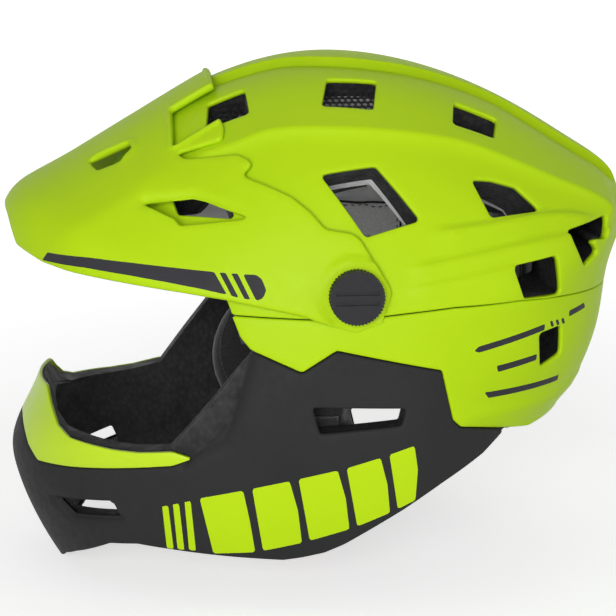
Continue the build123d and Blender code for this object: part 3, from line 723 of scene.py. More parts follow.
finishes = (
    (liner_foam, "crown_liner_left crown_liner_right"),
    (jaw_foam, "jaw_liner"),
    (rubber, "visor_washer_left visor_washer_right"),
    (knob_plastic, "visor_screw_left visor_screw_right"),
    (brass, "visor_insert_left visor_insert_right"),
    (mesh_plastic, "front_vent_mesh_left front_vent_mesh_right top_vent_mesh_left top_vent_mesh_right"),
    (black_plastic, "cheek_pad_snaps buckle_body buckle_tongue"),
    (steel, "strap_rivets buckle_pin"),
    (red_plastic, "buckle_lever"),
    (pad_cloth, "brow_pad nape_pad cheek_pad_left cheek_pad_right"),
    (backdrop_pale_cloth, "crown_pad crown_side_pad_left crown_side_pad_right temple_pad_left temple_pad_right"),
)
finish_of = {name: finish for finish, names in finishes for name in names.split()}
for name, finish in finish_of.items():
    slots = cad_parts[name].data.materials
    slots.clear()
    slots.append(finish)


# Lines on the shells

def lengths(shares):
    return [(x * REACH, z * REACH) for x, z in shares]


def lowered(points, drop):
    return [(x, z - drop) for x, z in points]


def millimetres(points):
    return np.array(points, float) * MM


def side_line(bulge, points, radius=LINE_CORNER):
    """Unrolled line of a side view line, cut at the profile, with eased corners and even spacing."""
    return resampled(crossing(bulge, rounded(points, radius, closed=False)), LOOP_STEP)


def side_loop(bulge, points, radius):
    """Unrolled closed loop of a side view outline."""
    eased = resampled(rounded(points, radius), SIDE_STEP, closed=True)
    return resampled(bulge.from_side(eased), HOLE_STEP, closed=True)


def side_path(bulge, points):
    """Unrolled open line of a side view line given in millimetres."""
    return resampled(bulge.from_side(resampled(millimetres(points), SIDE_STEP)), LOOP_STEP)


def print_loop(bulge, points, radius=PRINT_CORNER):
    """Unrolled loop of a printed shape given in millimetres in side view."""
    return side_loop(bulge, millimetres(points), radius)


def space_line(bulge, points):
    """Unrolled line through points in space given in millimetres about the ear axis."""
    return resampled(smooth_line(bulge.from_point(millimetres(points))), RIDGE_STEP)


def closed_panel(line, rising):
    """Loop made of a line between two places on the centre plane and the rim between them."""
    return np.vstack([line, rim_arc(line[-1], line[0], LOOP_STEP, rising)])


def vent_loop(bulge, tilt, shares, radius):
    """Unrolled loop of a vent whose outline is given in a tilted view."""
    turn = math.radians(tilt)
    x, height = resampled(rounded(lengths(shares), radius), SIDE_STEP, closed=True).T
    low, high = np.zeros(len(x)), np.full(len(x), VENT_REACH)
    for _ in range(40):
        middle = (low + high) / 2
        y = height * math.sin(turn) - middle * math.cos(turn)
        z = height * math.cos(turn) + middle * math.sin(turn)
        level = bulge.level(np.stack([x, z], 1))
        outside = (level >= 1) | (-y > bulge.width(level))
        low, high = np.where(outside, low, middle), np.where(outside, middle, high)
    return resampled(bulge.from_point(np.stack([x, y, z], 1)), HOLE_STEP, closed=True)


def clipped(lines, outline, holes=()):
    """Parts of unrolled lines that lie inside an outline and outside its holes."""
    parts = []
    for line in lines:
        keep = within(line, outline)
        for hole in holes:
            keep &= ~within(line, hole)
        run = []
        for spot, inside in zip(line, keep):
            if inside:
                run.append(spot)
                continue
            if len(run) > 3:
                parts.append(np.array(run))
            run = []
        if len(run) > 3:
            parts.append(np.array(run))
    return parts


# Heights beside a line

BAND_EDGE = 1.2 * MM
BAND_RISE = 2.0 * MM
BAND_HOLLOW = 2.8 * MM
BAND_BLEND = 8 * MM
BAND_REACH = 45 * MM
RIDGE_ROUND = 0.7 * MM
RIDGE_RISE = 3.2 * MM
RIDGE_WIDE = 12 * MM
RIDGE_NARROW = 4 * MM
RIDGE_SIDE = 1.5 * MM
CREASE_EDGE = 1.8 * MM
CREASE_BLEND = 11 * MM
FOLD_ROUND = 3.0 * MM
FOLD_RISE = 2.2 * MM
FOLD_WIDE = 16 * MM
BAND_SLOPE = 0.22
FLANGE_SLOPE = 0.60
FLANGE_FOOT = -60 * MM
FLANGE_FRONT = -95 * MM


class Ridge:
    """A line on a surface with the height of the surface on each side of it."""

    def __init__(self, bulge, line, height, fade_start=0.0, fade_end=0.0):
        self.flat = line
        self.space = bulge.place(line)
        self.height = height
        self.fades = np.array([fade_start, fade_end])

    def __call__(self, points, flat):
        distance, along, _ = nearest(points, self.space, NEAR)
        signed = np.where(left_of(flat, self.flat), distance, -distance)
        from_ends = np.stack([along, run_along(self.space)[-1] - along], 1)
        fade = smooth((from_ends + TINY) / (self.fades + TINY)).prod(axis=1)
        return self.height(signed) * fade * (distance < FAR)


def relief_of(ridges):
    return lambda points, flat: sum(ridge(points, flat) for ridge in ridges)


def band_height(signed):
    """Raised strip along the crown with a hollow beside it."""
    rise = smooth(signed / BAND_EDGE)
    hollow = -BAND_HOLLOW * np.exp(-np.abs(signed) / BAND_BLEND)
    return np.where(signed > -BAND_REACH, BAND_RISE * rise + hollow * (1 - rise), 0)


def ridge_height(signed):
    """Soft crest with a hollow above it."""
    ease = np.hypot(signed, RIDGE_ROUND) - RIDGE_ROUND
    return RIDGE_RISE * np.exp(-ease / np.where(signed > 0, RIDGE_WIDE, RIDGE_NARROW))


def crease_height(depth):
    """Low step, proud below the line."""
    def height(signed):
        step = smooth(0.5 - signed / CREASE_EDGE)
        return depth * step * np.exp(-np.abs(signed) / CREASE_BLEND)
    return height


def bevel_height(slope):
    """Flat facet that falls away to the right of a line."""
    return lambda signed: -slope * np.clip(-signed, 0, None)


def fold_height(signed):
    """Soft fold between the top and the side of the visor."""
    ease = np.hypot(signed, FOLD_ROUND) - FOLD_ROUND
    return FOLD_RISE * np.exp(-ease / FOLD_WIDE)


# Crown

shell = Bulge(profile_shares, HALF_WIDTH)
vents = [vent_loop(shell, tilt, shares, VENT_CORNER) for tilt, shares in vent_table]
crown_vents = vents[:7] + vents[8:]
side_vents = vents[7:8]
crown_ridges = [
    Ridge(shell, space_line(shell, points), height, fade_start * MM, fade_end * MM)
    for points, height, fade_start, fade_end in (
        (((-82, -7, 112), (-70, -9, 127), (-40, -13, 135), (-13, -22, 137), (37, -21, 130),
          (73, -17, 116), (103, -21, 99), (137, -18, 76), (146, -17, 68)), band_height, 14, 10),
        (((-90, -66, 88), (-65, -72, 100), (-45, -73, 106), (-16, -78, 107), (18, -78, 105),
          (50, -74, 98), (83, -70, 85), (117, -62, 69), (134, -52, 55)), ridge_height, 14, 10),
        (((26, -105, 61), (60, -98, 63), (90, -84, 65), (122, -66, 58)), crease_height(2.3 * MM), 16, 20),
        (((14, -112, 44), (60, -104, 50), (101, -85, 54), (140, -50, 52)), crease_height(2.2 * MM), 16, 20),
        (((13, -114, 34), (45, -110, 38), (72, -102, 42), (98, -92, 44)), crease_height(1.5 * MM), 14, 12),
    )
]
seam_side = lengths(seam_line_shares)
upper = closed_panel(side_line(shell, lengths(brow_line_shares) + seam_side), True)
crown_lines = [ridge.flat for ridge in crown_ridges]
for ridge in crown_ridges:
    crown_lines += beside(shell, ridge.flat, (-RIDGE_SIDE, RIDGE_SIDE))
upper_piece = panel(
    "upper_shell_skin", shell, upper, crown_vents, [lime, dark_print], SKIN_WALL, SKIN_EDGE,
    relief_of(crown_ridges), lines=clipped(crown_lines, upper, vents),
)
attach(upper_piece, "helmet")
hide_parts("upper_shell")

# Lower band

jaw = lengths(jaw_line_shares)
lower_side = lowered(seam_side, PART_GAP)[::-1] + lengths(cheek_edge_shares)
lower_side += jaw + lengths(neck_line_shares)[1:]
lower = closed_panel(side_line(shell, lower_side), True)
low_crease = side_path(shell, ((44.0, -37.2), (58.0, -35.0), (80.0, -35.5), (104.0, -36.4), (128.0, -35.0)))
rear_crease = side_path(shell, ((40.6, -29.5), (77.6, -31.5), (104.0, -31.0), (126.0, -27.0)))
lower_ridges = [
    Ridge(shell, low_crease, bevel_height(BAND_SLOPE), 10 * MM, 10 * MM),
    Ridge(shell, rear_crease, crease_height(0.8 * MM), 10 * MM, 10 * MM),
]
lower_prints = [print_loop(shell, points) for points in (
    ((51.3, 0.8), (53.9, 3.0), (91.1, 9.8), (91.1, 6.6), (54.2, -0.2)),
    ((58.0, -22.0), (60.6, -25.4), (103.0, -24.9), (103.3, -21.6)),
    ((64.0, -8.4), (65.0, -11.8), (87.0, -8.9), (87.2, -5.6)),
    ((106.4, 13.6), (106.4, 10.4), (118.2, 12.2), (116.9, 15.2)),
)]
for start in (94.0, 97.6, 101.2):
    tick = ((start, 10.4), (start + 1.3, 7.2), (start + 2.9, 7.5), (start + 1.6, 10.8))
    lower_prints.append(print_loop(shell, tick, PRINT_CORNER / 2))
lower_piece = panel(
    "lower_shell_skin", shell, lower, side_vents, [lime, dark_print], SKIN_WALL, SKIN_EDGE,
    relief_of(lower_ridges), [(loop, 1) for loop in lower_prints],
    clipped([low_crease, rear_crease], lower, side_vents),
)
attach(lower_piece, "helmet")
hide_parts("lower_shell")

# Chin bar

chin_side = lengths(inlay_low_shares)[:0:-1] + lowered(jaw, PART_GAP) + lengths(rim_line_shares)[-2::-1]
chin = closed_panel(side_line(shell, chin_side), False)
chin_vent = side_loop(shell, lengths(chin_vent_shares), HOLE_CORNER)
chin_holes = [side_loop(shell, lengths(cheek_vent_shares), HOLE_CORNER), chin_vent]
flange_line = side_path(shell, ((-55.5, 0.0), (-58.0, -9.0), (-66.5, -38.0), (-70.0, -47.0), (-88.0, -56.0)))
flange_fall = Ridge(shell, flange_line, bevel_height(FLANGE_SLOPE))
pocket = print_loop(shell, (
    (-166.7, -86.0), (-157.1, -84.6), (-131.5, -79.6), (-120.0, -93.6), (-150.2, -98.5),
), HOLE_CORNER)


def chin_relief(points, flat):
    """Facet round the face opening and sloped pocket round each chin vent."""
    height = flange_fall(points, flat) * (points[:, 2] > FLANGE_FOOT) * (points[:, 0] > FLANGE_FRONT)
    to_rim = distance_from(points, shell.place(looped(pocket)))
    to_vent = distance_from(points, shell.place(looped(chin_vent)))
    return height - POCKET_DEPTH * to_rim / (to_rim + to_vent + POCKET_EASE) * within(flat, pocket)


chin_prints = []
for start in (-104.2, -98.8, -93.0):
    top = -80.3 + 0.31 * (start + 104.2)
    bar = ((start, top), (start + 3.0, top + 0.7), (start + 5.6, -105.0), (start + 2.2, -104.8))
    chin_prints.append(print_loop(shell, bar, PRINT_CORNER / 2))
chin_prints += [print_loop(shell, points, BLOCK_CORNER) for points in (
    ((-85.5, -74.2), (-64.0, -69.0), (-60.5, -86.0), (-57.5, -104.5), (-78.5, -106.0)),
    ((-59.5, -67.9), (-41.0, -63.6), (-36.5, -80.0), (-34.0, -99.0), (-53.5, -103.6)),
    ((-36.5, -62.6), (-17.0, -58.2), (-12.5, -74.0), (-10.0, -91.8), (-30.0, -97.8)),
    ((-12.5, -57.2), (4.5, -52.2), (8.5, -67.0), (10.6, -83.6), (-6.0, -90.4)),
    ((9.0, -50.8), (21.7, -46.7), (24.0, -60.0), (23.6, -77.4), (14.6, -81.8)),
)]
chin_piece = panel(
    "chin_bar_skin", shell, chin, chin_holes, [dark, lime_print], CHIN_WALL, CHIN_EDGE, chin_relief,
    [(loop, 1) for loop in chin_prints], clipped([flange_line], chin, chin_holes) + [looped(pocket)],
)
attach(chin_piece, "helmet")
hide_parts("chin_bar_shell")

inlay_side = lengths(inlay_top_shares)[::-1] + lowered(lengths(inlay_low_shares)[3:], -PART_GAP)
inlay = closed_panel(side_line(shell, inlay_side, INLAY_CORNER), False)
inlay_piece = panel(
    "chin_bar_inlay_skin", shell, inlay, [], [inlay_sheen_lime], INLAY_WALL, INLAY_EDGE,
    lambda points, flat: np.zeros(len(points)),
)
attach(inlay_piece, "helmet")
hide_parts("chin_bar_inlay")

# Visor

peak = Bulge(visor_profile_shares, VISOR_HALF_WIDTH)
NOTCH_REAR = -73 * MM
NOTCH_CORNER = 0.02
NOTCH_LIP = 2.8 * MM
SLOT_LIP = 3.6 * MM
LIP_BLEND = 4 * MM
CHAMFER_DEPTH = 2.0 * MM
SEAT_REACH = 19.0 * MM
SEAT_BLEND = 1.5 * MM
ARM_CORNER = 3 * MM
WINDOW_CORNER = 1.0 * MM
KNOB_STEP = 0.003
notch_corners = millimetres(((-71, -61), (-95, -61), (-95, -32), (-73, -32)))
notch = []
for first, second in zip(notch_corners[:-1], notch_corners[1:]):
    for share in np.linspace(0, 1, 30, endpoint=False):
        notch.append(peak.from_top(*(first + (second - first) * share)))
notch.append(peak.from_top(*notch_corners[-1]))
angles = np.linspace(0.6, 2.6, 20000)
centre_angle = angles[np.argmin(np.abs(peak.reach(angles) * np.cos(angles) - NOTCH_REAR))]
notch.append((math.cos(centre_angle), math.sin(centre_angle)))
notch_line = resampled(rounded(notch, NOTCH_CORNER, closed=False), LOOP_STEP)
arm_side = rounded(lengths(visor_outline_shares), ARM_CORNER, closed=False)
visor_line = resampled(np.vstack([side_line(peak, arm_side, WINDOW_CORNER), notch_line]), LOOP_STEP)
visor_outline = closed_panel(visor_line, True)
slot = side_loop(peak, lengths(visor_slot_shares), HOLE_CORNER)
window = side_loop(peak, lengths(visor_window_shares), WINDOW_CORNER)
knob_place = np.array(knob_shares) * REACH
turns = np.linspace(0, 2 * math.pi, 24, endpoint=False)
knob_hole = knob_place + SCREW_HOLE * np.stack([np.cos(turns), np.sin(turns)], 1)
visor_holes = [slot, window, resampled(peak.from_side(knob_hole), KNOB_STEP, closed=True)]
fold = Ridge(peak, side_path(peak, (
    (-163.0, 47.5), (-150.0, 55.0), (-131.0, 66.0), (-115.0, 75.5), (-103.0, 86.0), (-92.0, 97.0),
)), fold_height, 25 * MM, 25 * MM)


def above(points, loop, below):
    """Share that rises from 0 to 1 over a stretch about the middle height of a loop."""
    return smooth((points[:, 2] - peak.place(loop)[:, 2].mean() + below) / LIP_BLEND)


def visor_relief(points, flat):
    """Seats for the screws, lips round the openings and the fold over the brow."""
    away = np.hypot(points[:, 0] - knob_place[0], points[:, 2] - knob_place[1])
    seat = (points[:, 1] + SEAT_WIDTH) * smooth((SEAT_REACH - away) / SEAT_BLEND)
    to_notch = distance_from(points, peak.place(notch_line))
    to_slot = distance_from(points, peak.place(looped(slot)))
    to_window = distance_from(points, peak.place(looped(window)))
    lip = smooth((NOTCH_LIP - to_notch) / MM)
    lip += smooth((SLOT_LIP - to_slot) / MM) * above(points, slot, 3 * MM)
    chamfer = CHAMFER_DEPTH * np.clip(1 - to_window / SLOT_LIP, 0, 1) * above(points, window, MM)
    return seat + LIP_RISE * lip - chamfer + fold(points, flat)


visor_prints = [print_loop(peak, points, radius * MM) for points, radius in (
    (((-161.9, 42.0), (-158.7, 46.6), (-137.3, 46.9), (-116.2, 46.0), (-95.3, 44.5), (-77.3, 43.1),
      (-71.4, 32.6), (-84.2, 35.2), (-101.2, 37.9), (-118.2, 40.0), (-139.4, 41.8)), 0.4),
    (((-74.9, 43.0), (-71.8, 42.8), (-65.8, 31.2), (-69.2, 32.0)), 0.2),
    (((-69.2, 42.7), (-66.0, 42.5), (-60.1, 30.2), (-63.1, 30.8)), 0.2),
    (((-63.5, 42.3), (-57.1, 42.1), (-54.5, 40.2), (-52.4, 34.8), (-54.2, 31.0), (-57.4, 29.8)), 0.6),
)]
lip_lines = beside(peak, notch_line, (NOTCH_LIP - MM, NOTCH_LIP, MM - NOTCH_LIP, -NOTCH_LIP))
visor_piece = panel(
    "visor_skin", peak, visor_outline, visor_holes, [lime, dark_print], VISOR_WALL, VISOR_EDGE, visor_relief,
    [(loop, 1) for loop in visor_prints], clipped(lip_lines, visor_outline, visor_holes),
)
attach(visor_piece, "visor")
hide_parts("visor")


# Rubber lips

def settled(made):
    """Applies the modifiers of a piece."""
    graph = bpy.context.evaluated_depsgraph_get()
    mesh = bpy.data.meshes.new_from_object(made.evaluated_get(graph), depsgraph=graph)
    made.modifiers.clear()
    made.data = mesh


def remeshed(solid, name, voxel, rounds, grown):
    """Copy of a CAD solid in even small faces with its edges eased, grown or drawn in."""
    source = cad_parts[solid]
    mesh = source.data.copy()
    mesh.transform(source.matrix_world)
    mesh.materials.clear()
    made = object_of(name, mesh)
    remesh = made.modifiers.new("remesh", "REMESH")
    remesh.mode = "VOXEL"
    remesh.voxel_size = voxel
    ease = made.modifiers.new("ease", "SMOOTH")
    ease.iterations = rounds
    grow = made.modifiers.new("grow", "DISPLACE")
    grow.mid_level = 0.0
    grow.strength = grown
    settled(made)
    return made


def rounded_lip(solid, rounds, grown):
    made = remeshed(solid, solid + "_lip", LIP_VOXEL, rounds, grown)
    made.data.materials.append(rubber)
    round_shaded(made.data)
    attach(made, "helmet")
    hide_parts(solid)
    return made.data


LIP_VOXEL = 1.1 * MM
TRIM_HEIGHT = 4.5 * MM
TRIM_TAPER = 16.0 * MM
LIP_SHARE = 0.42
END_DRAW = 0.02
CHIN_LIP_GROWN = 0.25 * MM
NECK_LIP_GROWN = 0.2 * MM
chin_lip = rounded_lip("chin_trim", 7, CHIN_LIP_GROWN)
spots = spots_of(chin_lip)
trim_line = np.array(sorted(lengths(inlay_top_shares)))
foot = np.interp(spots[:, 0] - AXIS_SETBACK, trim_line[:, 0], trim_line[:, 1]) + AXIS_HEIGHT - TRIM_HEIGHT
taper = smooth((spots[:, 0].max() - spots[:, 0]) / TRIM_TAPER)
spots[:, 2] -= np.clip(spots[:, 2] - foot, 0, None) * (1 - LIP_SHARE * taper)
spots[:, 1] *= 1 - END_DRAW * (1 - taper)
set_spots(chin_lip, spots)
chin_lip.update()
rounded_lip("neck_trim", 5, NECK_LIP_GROWN)

# Pads

SOFT_VOXEL = 2.6 * MM
DRAWN_IN = 1.3 * MM
SWELL_CAP = 1.2 * MM
SWELL_FRAMES = 20
PIPING = 0.75 * MM
PIPING_FACING = 0.15
SEAM_FACING = 0.80
PIPING_STEP = 1.6 * MM
SEAM_STEP = 0.7 * MM
GROOVE_DEPTH = 0.5 * MM
GROOVE_WIDTH = 1.3 * MM
THREAD = 0.32 * MM
THREAD_SUNK = 0.25 * MM
STITCH_LENGTH = 2.6 * MM
STITCH_PITCH = 4.2 * MM
HEAD_CENTRE = (0.010, 0.0, 0.150)


def swell(pieces):
    """Blows up pads with the cloth solver and caps how far each point moves."""
    scene = bpy.context.scene
    rest = [spots_of(piece.data) for piece in pieces]
    for piece in pieces:
        blown = piece.modifiers.new("cloth", "CLOTH")
        blown.settings.use_pressure = True
        blown.settings.uniform_pressure_force = 4.0
        blown.settings.mass = 0.002
        blown.settings.quality = 4
        blown.settings.effector_weights.gravity = 0.0
        blown.collision_settings.use_collision = False
        blown.point_cache.frame_start = 1
        blown.point_cache.frame_end = SWELL_FRAMES
    for frame_number in range(1, SWELL_FRAMES + 1):
        scene.frame_set(frame_number)
    for piece, before in zip(pieces, rest):
        settled(piece)
        moved = spots_of(piece.data) - before
        far = np.linalg.norm(moved, axis=1, keepdims=True)
        set_spots(piece.data, before + moved * np.minimum(1.0, SWELL_CAP / np.maximum(far, 1e-9)))
    scene.frame_set(1)


def contour(mesh, values, level):
    """Longest closed line on a triangulated mesh where a value per point passes a level."""
    mesh.calc_loop_triangles()
    corners = np.empty(len(mesh.loop_triangles) * 3, dtype=np.int64)
    mesh.loop_triangles.foreach_get("vertices", corners)
    corners = corners.reshape(-1, 3)
    spots = spots_of(mesh)
    over = values > level
    mixed = corners[over[corners].any(axis=1) & ~over[corners].all(axis=1)]
    links = {}
    for triangle in mixed:
        ends = []
        for first, second in ((0, 1), (1, 2), (2, 0)):
            a, b = sorted((int(triangle[first]), int(triangle[second])))
            if over[a] != over[b]:
                ends.append((a, b))
        links.setdefault(ends[0], []).append(ends[1])
        links.setdefault(ends[1], []).append(ends[0])
    best = []
    seen = set()
    for start in links:
        run = []
        ahead = [start] if start not in seen else []
        while ahead:
            run.append(ahead[0])
            seen.add(ahead[0])
            ahead = [edge for edge in links[run[-1]] if edge not in seen]
        if len(run) > len(best):
            best = run
    line = []
    for a, b in best:
        share = (level - values[a]) / (values[b] - values[a])
        line.append(spots[a] + share * (spots[b] - spots[a]))
    return np.array(line)


def eased_loop(line, step):
    """Closed line with even steps and its small waves taken out."""
    line = resampled(line, step, closed=True)
    for _ in range(6):
        line = (np.roll(line, 1, 0) + 2 * line + np.roll(line, -1, 0)) / 4
    return line


def ring_faces(rows, width, closed):
    """Faces between rings of points that follow each other."""
    faces = []
    for row in range(rows if closed else rows - 1):
        here = row * width
        after = (row + 1) % rows * width
        for column in range(width):
            beyond = (column + 1) % width
            faces.append((here + column, here + beyond, after + beyond, after + column))
    return faces


def loop_tube(line, radius, sides=6):
    """Closed tube round a loop of points."""
    ahead = unit(np.roll(line, -1, 0) - np.roll(line, 1, 0))
    across = unit(np.cross(ahead, line - line.mean(axis=0)))
    upward = np.cross(across, ahead)
    verts = []
    for side in range(sides):
        turn = 2 * math.pi * side / sides
        verts.append(line + radius * (math.cos(turn) * across + math.sin(turn) * upward))
    return np.stack(verts, axis=1).reshape(-1, 3), ring_faces(len(line), sides, True)


def bead(start, end, lift):
    """One stitch: a six sided spindle between two points."""
    ahead = (end - start) / np.linalg.norm(end - start)
    across = np.cross(ahead, lift)
    across /= np.linalg.norm(across)
    upward = np.cross(across, ahead)
    verts = [start]
    for share in (0.2, 0.8):
        for side in range(6):
            turn = 2 * math.pi * side / 6
            out = math.cos(turn) * across + math.sin(turn) * upward
            verts.append(start + share * (end - start) + THREAD * out)
    verts.append(end)
    faces = []
    for side in range(6):
        after = (side + 1) % 6
        faces.append((0, 1 + after, 1 + side))
        faces.append((1 + side, 1 + after, 7 + after, 7 + side))
        faces.append((7 + side, 7 + after, 13))
    return verts, faces


def joined_mesh(name, parts, materials):
    """One mesh object out of lists of points and faces, each with its material's index."""
    verts = []
    faces = []
    indices = []
    for (part_verts, part_faces), index in parts:
        shift = len(verts)
        verts += [tuple(v) for v in part_verts]
        faces += [tuple(corner + shift for corner in face) for face in part_faces]
        indices += [index] * len(part_faces)
    return mesh_object(name, verts, faces, materials, indices)


def trimmed_pad(piece, solid, finish):
    """Pad with piping round its rim and a row of stitches inside it."""
    steps = piece.modifiers.new("smooth_steps", "SUBSURF")
    steps.levels = 1
    settled(piece)
    mesh = piece.data
    spots = spots_of(mesh)
    normals = spots_of(mesh, "normal")
    facing = (normals * unit(np.array(HEAD_CENTRE) - spots)).sum(axis=1)
    rim = eased_loop(contour(mesh, facing, PIPING_FACING), PIPING_STEP)
    inner = eased_loop(contour(mesh, facing, SEAM_FACING), SEAM_STEP)
    tree = KDTree(len(spots))
    for index, spot in enumerate(spots):
        tree.insert(spot, index)
    tree.balance()
    closest = np.array([np.linalg.norm(inner - spot, axis=1).min() for spot in spots])
    groove = GROOVE_DEPTH * np.exp(-(closest / GROOVE_WIDTH) ** 2)
    set_spots(mesh, spots - groove[:, None] * normals)
    round_shaded(mesh)
    mesh.materials.clear()
    mesh.materials.append(finish)
    mesh.update()
    parts = [(loop_tube(rim, PIPING), 0)]
    step = np.linalg.norm(inner - np.roll(inner, -1, 0), axis=1).mean()
    every = max(int(round(STITCH_PITCH / step)), 2)
    span = max(int(round(STITCH_LENGTH / step)), 1)
    for start in range(0, len(inner) - span, every):
        first = inner[start]
        lift = normals[tree.find(first)[1]]
        parts.append((bead(first - THREAD_SUNK * lift, inner[start + span] - THREAD_SUNK * lift, lift), 1))
    seam = joined_mesh(solid + "_seam", parts, [piping_cloth, thread])
    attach(piece, "helmet")
    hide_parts(solid)
    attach(seam, "helmet")


pad_nodes = (
    "brow_pad", "crown_pad", "crown_side_pad_left", "crown_side_pad_right", "temple_pad_left",
    "temple_pad_right", "nape_pad", "cheek_pad_left", "cheek_pad_right",
)
pads = [remeshed(solid, solid + "_cushion", SOFT_VOXEL, 5, -DRAWN_IN) for solid in pad_nodes]
swell(pads)
for pad, solid in zip(pads, pad_nodes):
    trimmed_pad(pad, solid, finish_of[solid])

# Strap

STRAP_X = -0.025
STRAP_HALF = 10.0 * MM
STRAP_HALF_THICK = 0.75 * MM
WEAVE_RISE = 0.06 * MM
SLEEVE_THICK = 1.6 * MM
SLEEVE_STITCH_HEIGHT = 1.75 * MM
STRAP_STEP = 2.0 * MM
LEFT_END = 32.0 * MM
RIGHT_END = 11.0 * MM
SLEEVE_START = 40.5 * MM
SLEEVE_END = 66.0 * MM
SLEEVE_HALF = 12.6 * MM


def ribbon_path(end):
    """Smooth path of one half of the strap, as distance from the centre plane and height."""
    corners = lengths(strap_path_shares + ((end / REACH, strap_run_share),))
    return resampled(smooth_line(corners), STRAP_STEP)


def path_ways(path):
    return unit(np.gradient(path, axis=0))


def ribbon(path, side, half_width, half_thick, crown, ripple=0.0):
    """Woven band along a path on one side of the helmet, thicker in its middle."""
    ahead = path_ways(path)
    outward = np.stack([ahead[:, 1], -ahead[:, 0]], axis=1)
    across = np.linspace(-1, 1, 15)
    around = [(share, 1) for share in across] + [(share, -1) for share in across[::-1]]
    verts = []
    for spot, normal in zip(path, outward):
        for share, face in around:
            edge = math.sqrt(max(1 - abs(share) ** 8, 0.0))
            ridge = ripple * math.cos(share * 7 * math.pi)
            height = face * (half_thick * (0.35 + 0.65 * edge) + crown * (1 - share**2) + ridge)
            y, z = spot + height * normal
            verts.append((STRAP_X + share * half_width, side * y, z))
    width = len(around)
    faces = ring_faces(len(path), width, False)
    faces.append(tuple(range(width)))
    faces.append(tuple(reversed(range((len(path) - 1) * width, len(path) * width))))
    if side > 0:
        faces = [face[::-1] for face in faces]
    return np.array(verts) + EAR_AXIS, faces


def stitch_rows(path, side, first, last, shares, height):
    """Rows of stitches along a band between two distances from its start."""
    run = run_along(path)
    ahead = path_ways(path)

    def place(along, share):
        y, z = (np.interp(along, run, path[:, axis]) for axis in (0, 1))
        across, up = (np.interp(along, run, ahead[:, axis]) for axis in (0, 1))
        normal = np.array((0.0, side * up, -across))
        spot = np.array((STRAP_X + share * STRAP_HALF, side * y, z))
        return spot + height * normal + EAR_AXIS, normal

    parts = []
    for share in shares:
        along = first
        while along + STITCH_LENGTH < last:
            start, normal = place(along, share)
            end, _ = place(along + STITCH_LENGTH, share)
            parts.append((bead(start, end, normal), 1))
            along += STITCH_PITCH
    return parts


for solid, side, end in (("chin_strap_left", -1, LEFT_END), ("chin_strap_right", 1, RIGHT_END)):
    path = ribbon_path(end)
    parts = [(ribbon(path, side, STRAP_HALF, STRAP_HALF_THICK, 0.0, WEAVE_RISE), 0)]
    parts += stitch_rows(path, side, 14 * MM, 34 * MM, (-0.7, -0.25, 0.25, 0.7), STRAP_HALF_THICK)
    band = joined_mesh(solid + "_band", parts, [webbing, thread])
    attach(band, "helmet")
    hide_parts(solid)
path = ribbon_path(RIGHT_END)
path = path[(path[:, 0] > SLEEVE_START) & (path[:, 0] < SLEEVE_END)]
parts = [(ribbon(path, 1, SLEEVE_HALF, SLEEVE_THICK, SLEEVE_THICK), 0)]
parts += stitch_rows(path, 1, 1.5 * MM, 26 * MM, (-1.08, 1.08), SLEEVE_STITCH_HEIGHT)
sleeve = joined_mesh("strap_pad_sleeve", parts, [pad_cloth, thread])
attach(sleeve, "helmet")
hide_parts("strap_pad")

# Studio

FLOOR = 6.0
WHITE = (1, 1, 1, 1)
corners = [(-FLOOR, -FLOOR, 0), (FLOOR, -FLOOR, 0), (FLOOR, FLOOR, 0), (-FLOOR, FLOOR, 0)]
floor_mesh = bpy.data.meshes.new("floor")
floor_mesh.from_pydata(corners, [], [(0, 1, 2, 3)])
object_of("floor", floor_mesh)


def seen_rays(tree):
    """Output that is one for rays that show what lies behind the object."""
    path = node(tree, "LightPath").outputs
    mirrored = node(tree, "Math", {0: path["Is Camera Ray"], 1: path["Is Glossy Ray"]}, operation="MAXIMUM")
    through = {0: mirrored.outputs[0], 1: path["Is Transmission Ray"]}
    return node(tree, "Math", through, operation="MAXIMUM").outputs[0]


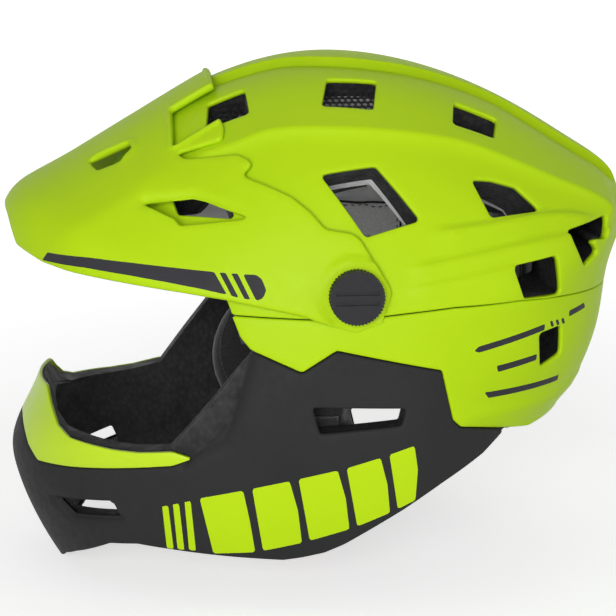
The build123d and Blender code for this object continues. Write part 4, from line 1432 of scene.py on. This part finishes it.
floor_material, tree, shader = material("floor", (0.85, 0.85, 0.85), 0.9, {"Specular IOR Level": 0.0})
speckle = ramp(tree, noise(tree, 3.0), grey(0.84), grey(0.86), (0.3, 0.7))
fill(tree, shader, {"Base Color": speckle})
away = node(tree, "VectorMath", {0: on_object(tree)}, operation="LENGTH").outputs["Value"]
rising = {"Value": away, "From Min": 0.30, "From Max": 1.60, "To Min": 0.58, "To Max": 1.05}
strength = node(tree, "MapRange", rising).outputs["Result"]
glow = node(tree, "Emission", {"Color": WHITE, "Strength": strength})
both = node(tree, "AddShader", {0: shader.outputs[0], 1: glow.outputs[0]})
mix = node(tree, "MixShader", {"Fac": seen_rays(tree), 1: shader.outputs[0], 2: both.outputs[0]})
fill(tree, tree.nodes["Material Output"], {"Surface": mix.outputs[0]})
floor_mesh.materials.append(floor_material)

world = bpy.data.worlds.new("studio")
bpy.context.scene.world = world
world.use_nodes = True
tree = world.node_tree
sky = tree.nodes["Background"]
fill(tree, sky, {"Color": WHITE, "Strength": 0.22})
white = node(tree, "Background", {"Color": WHITE, "Strength": 1.0})
mix = node(tree, "MixShader", {"Fac": seen_rays(tree), 1: sky.outputs[0], 2: white.outputs[0]})
fill(tree, tree.nodes["World Output"], {"Surface": mix.outputs[0]})


def aimed(piece, way):
    piece.rotation_euler = way.to_track_quat("-Z", "Y").to_euler()


def softbox(name, place, size, power):
    light = bpy.data.lights.new(name, "AREA")
    light.shape = "RECTANGLE"
    light.size = size
    light.size_y = size
    light.energy = power
    lamp = object_of(name, light)
    lamp.location = place
    aimed(lamp, Vector(LAMP_AIM) - Vector(place))


LAMP_AIM = (0.0, 0.0, 0.13)
softbox("key", (-0.5, -2.1, 0.50), 1.1, 36)
softbox("fill", (1.6, -1.2, 0.35), 1.2, 5)
softbox("top", (0.0, 0.4, 2.0), 1.6, 2.5)

CAMERA_DISTANCE = 1.05
CAMERA_TURN = math.radians(-6.0)
CAMERA_RISE = math.radians(12.5)
SCALE_AT_TARGET = 0.55 * MM
FRAME_WIDTH = 616
SENSOR = 36.0
target = Vector((-0.004, 0.0, AXIS_HEIGHT))
back = Vector((
    math.sin(CAMERA_TURN) * math.cos(CAMERA_RISE),
    -math.cos(CAMERA_TURN) * math.cos(CAMERA_RISE),
    math.sin(CAMERA_RISE),
))
camera_data = bpy.data.cameras.new("camera")
camera_data.sensor_width = SENSOR
camera_data.lens = SENSOR * CAMERA_DISTANCE / SCALE_AT_TARGET / FRAME_WIDTH
camera = object_of("camera", camera_data)
camera.location = target + CAMERA_DISTANCE * back
aimed(camera, -back)
bpy.context.scene.camera = camera
bpy.context.scene.view_settings.view_transform = "Standard"
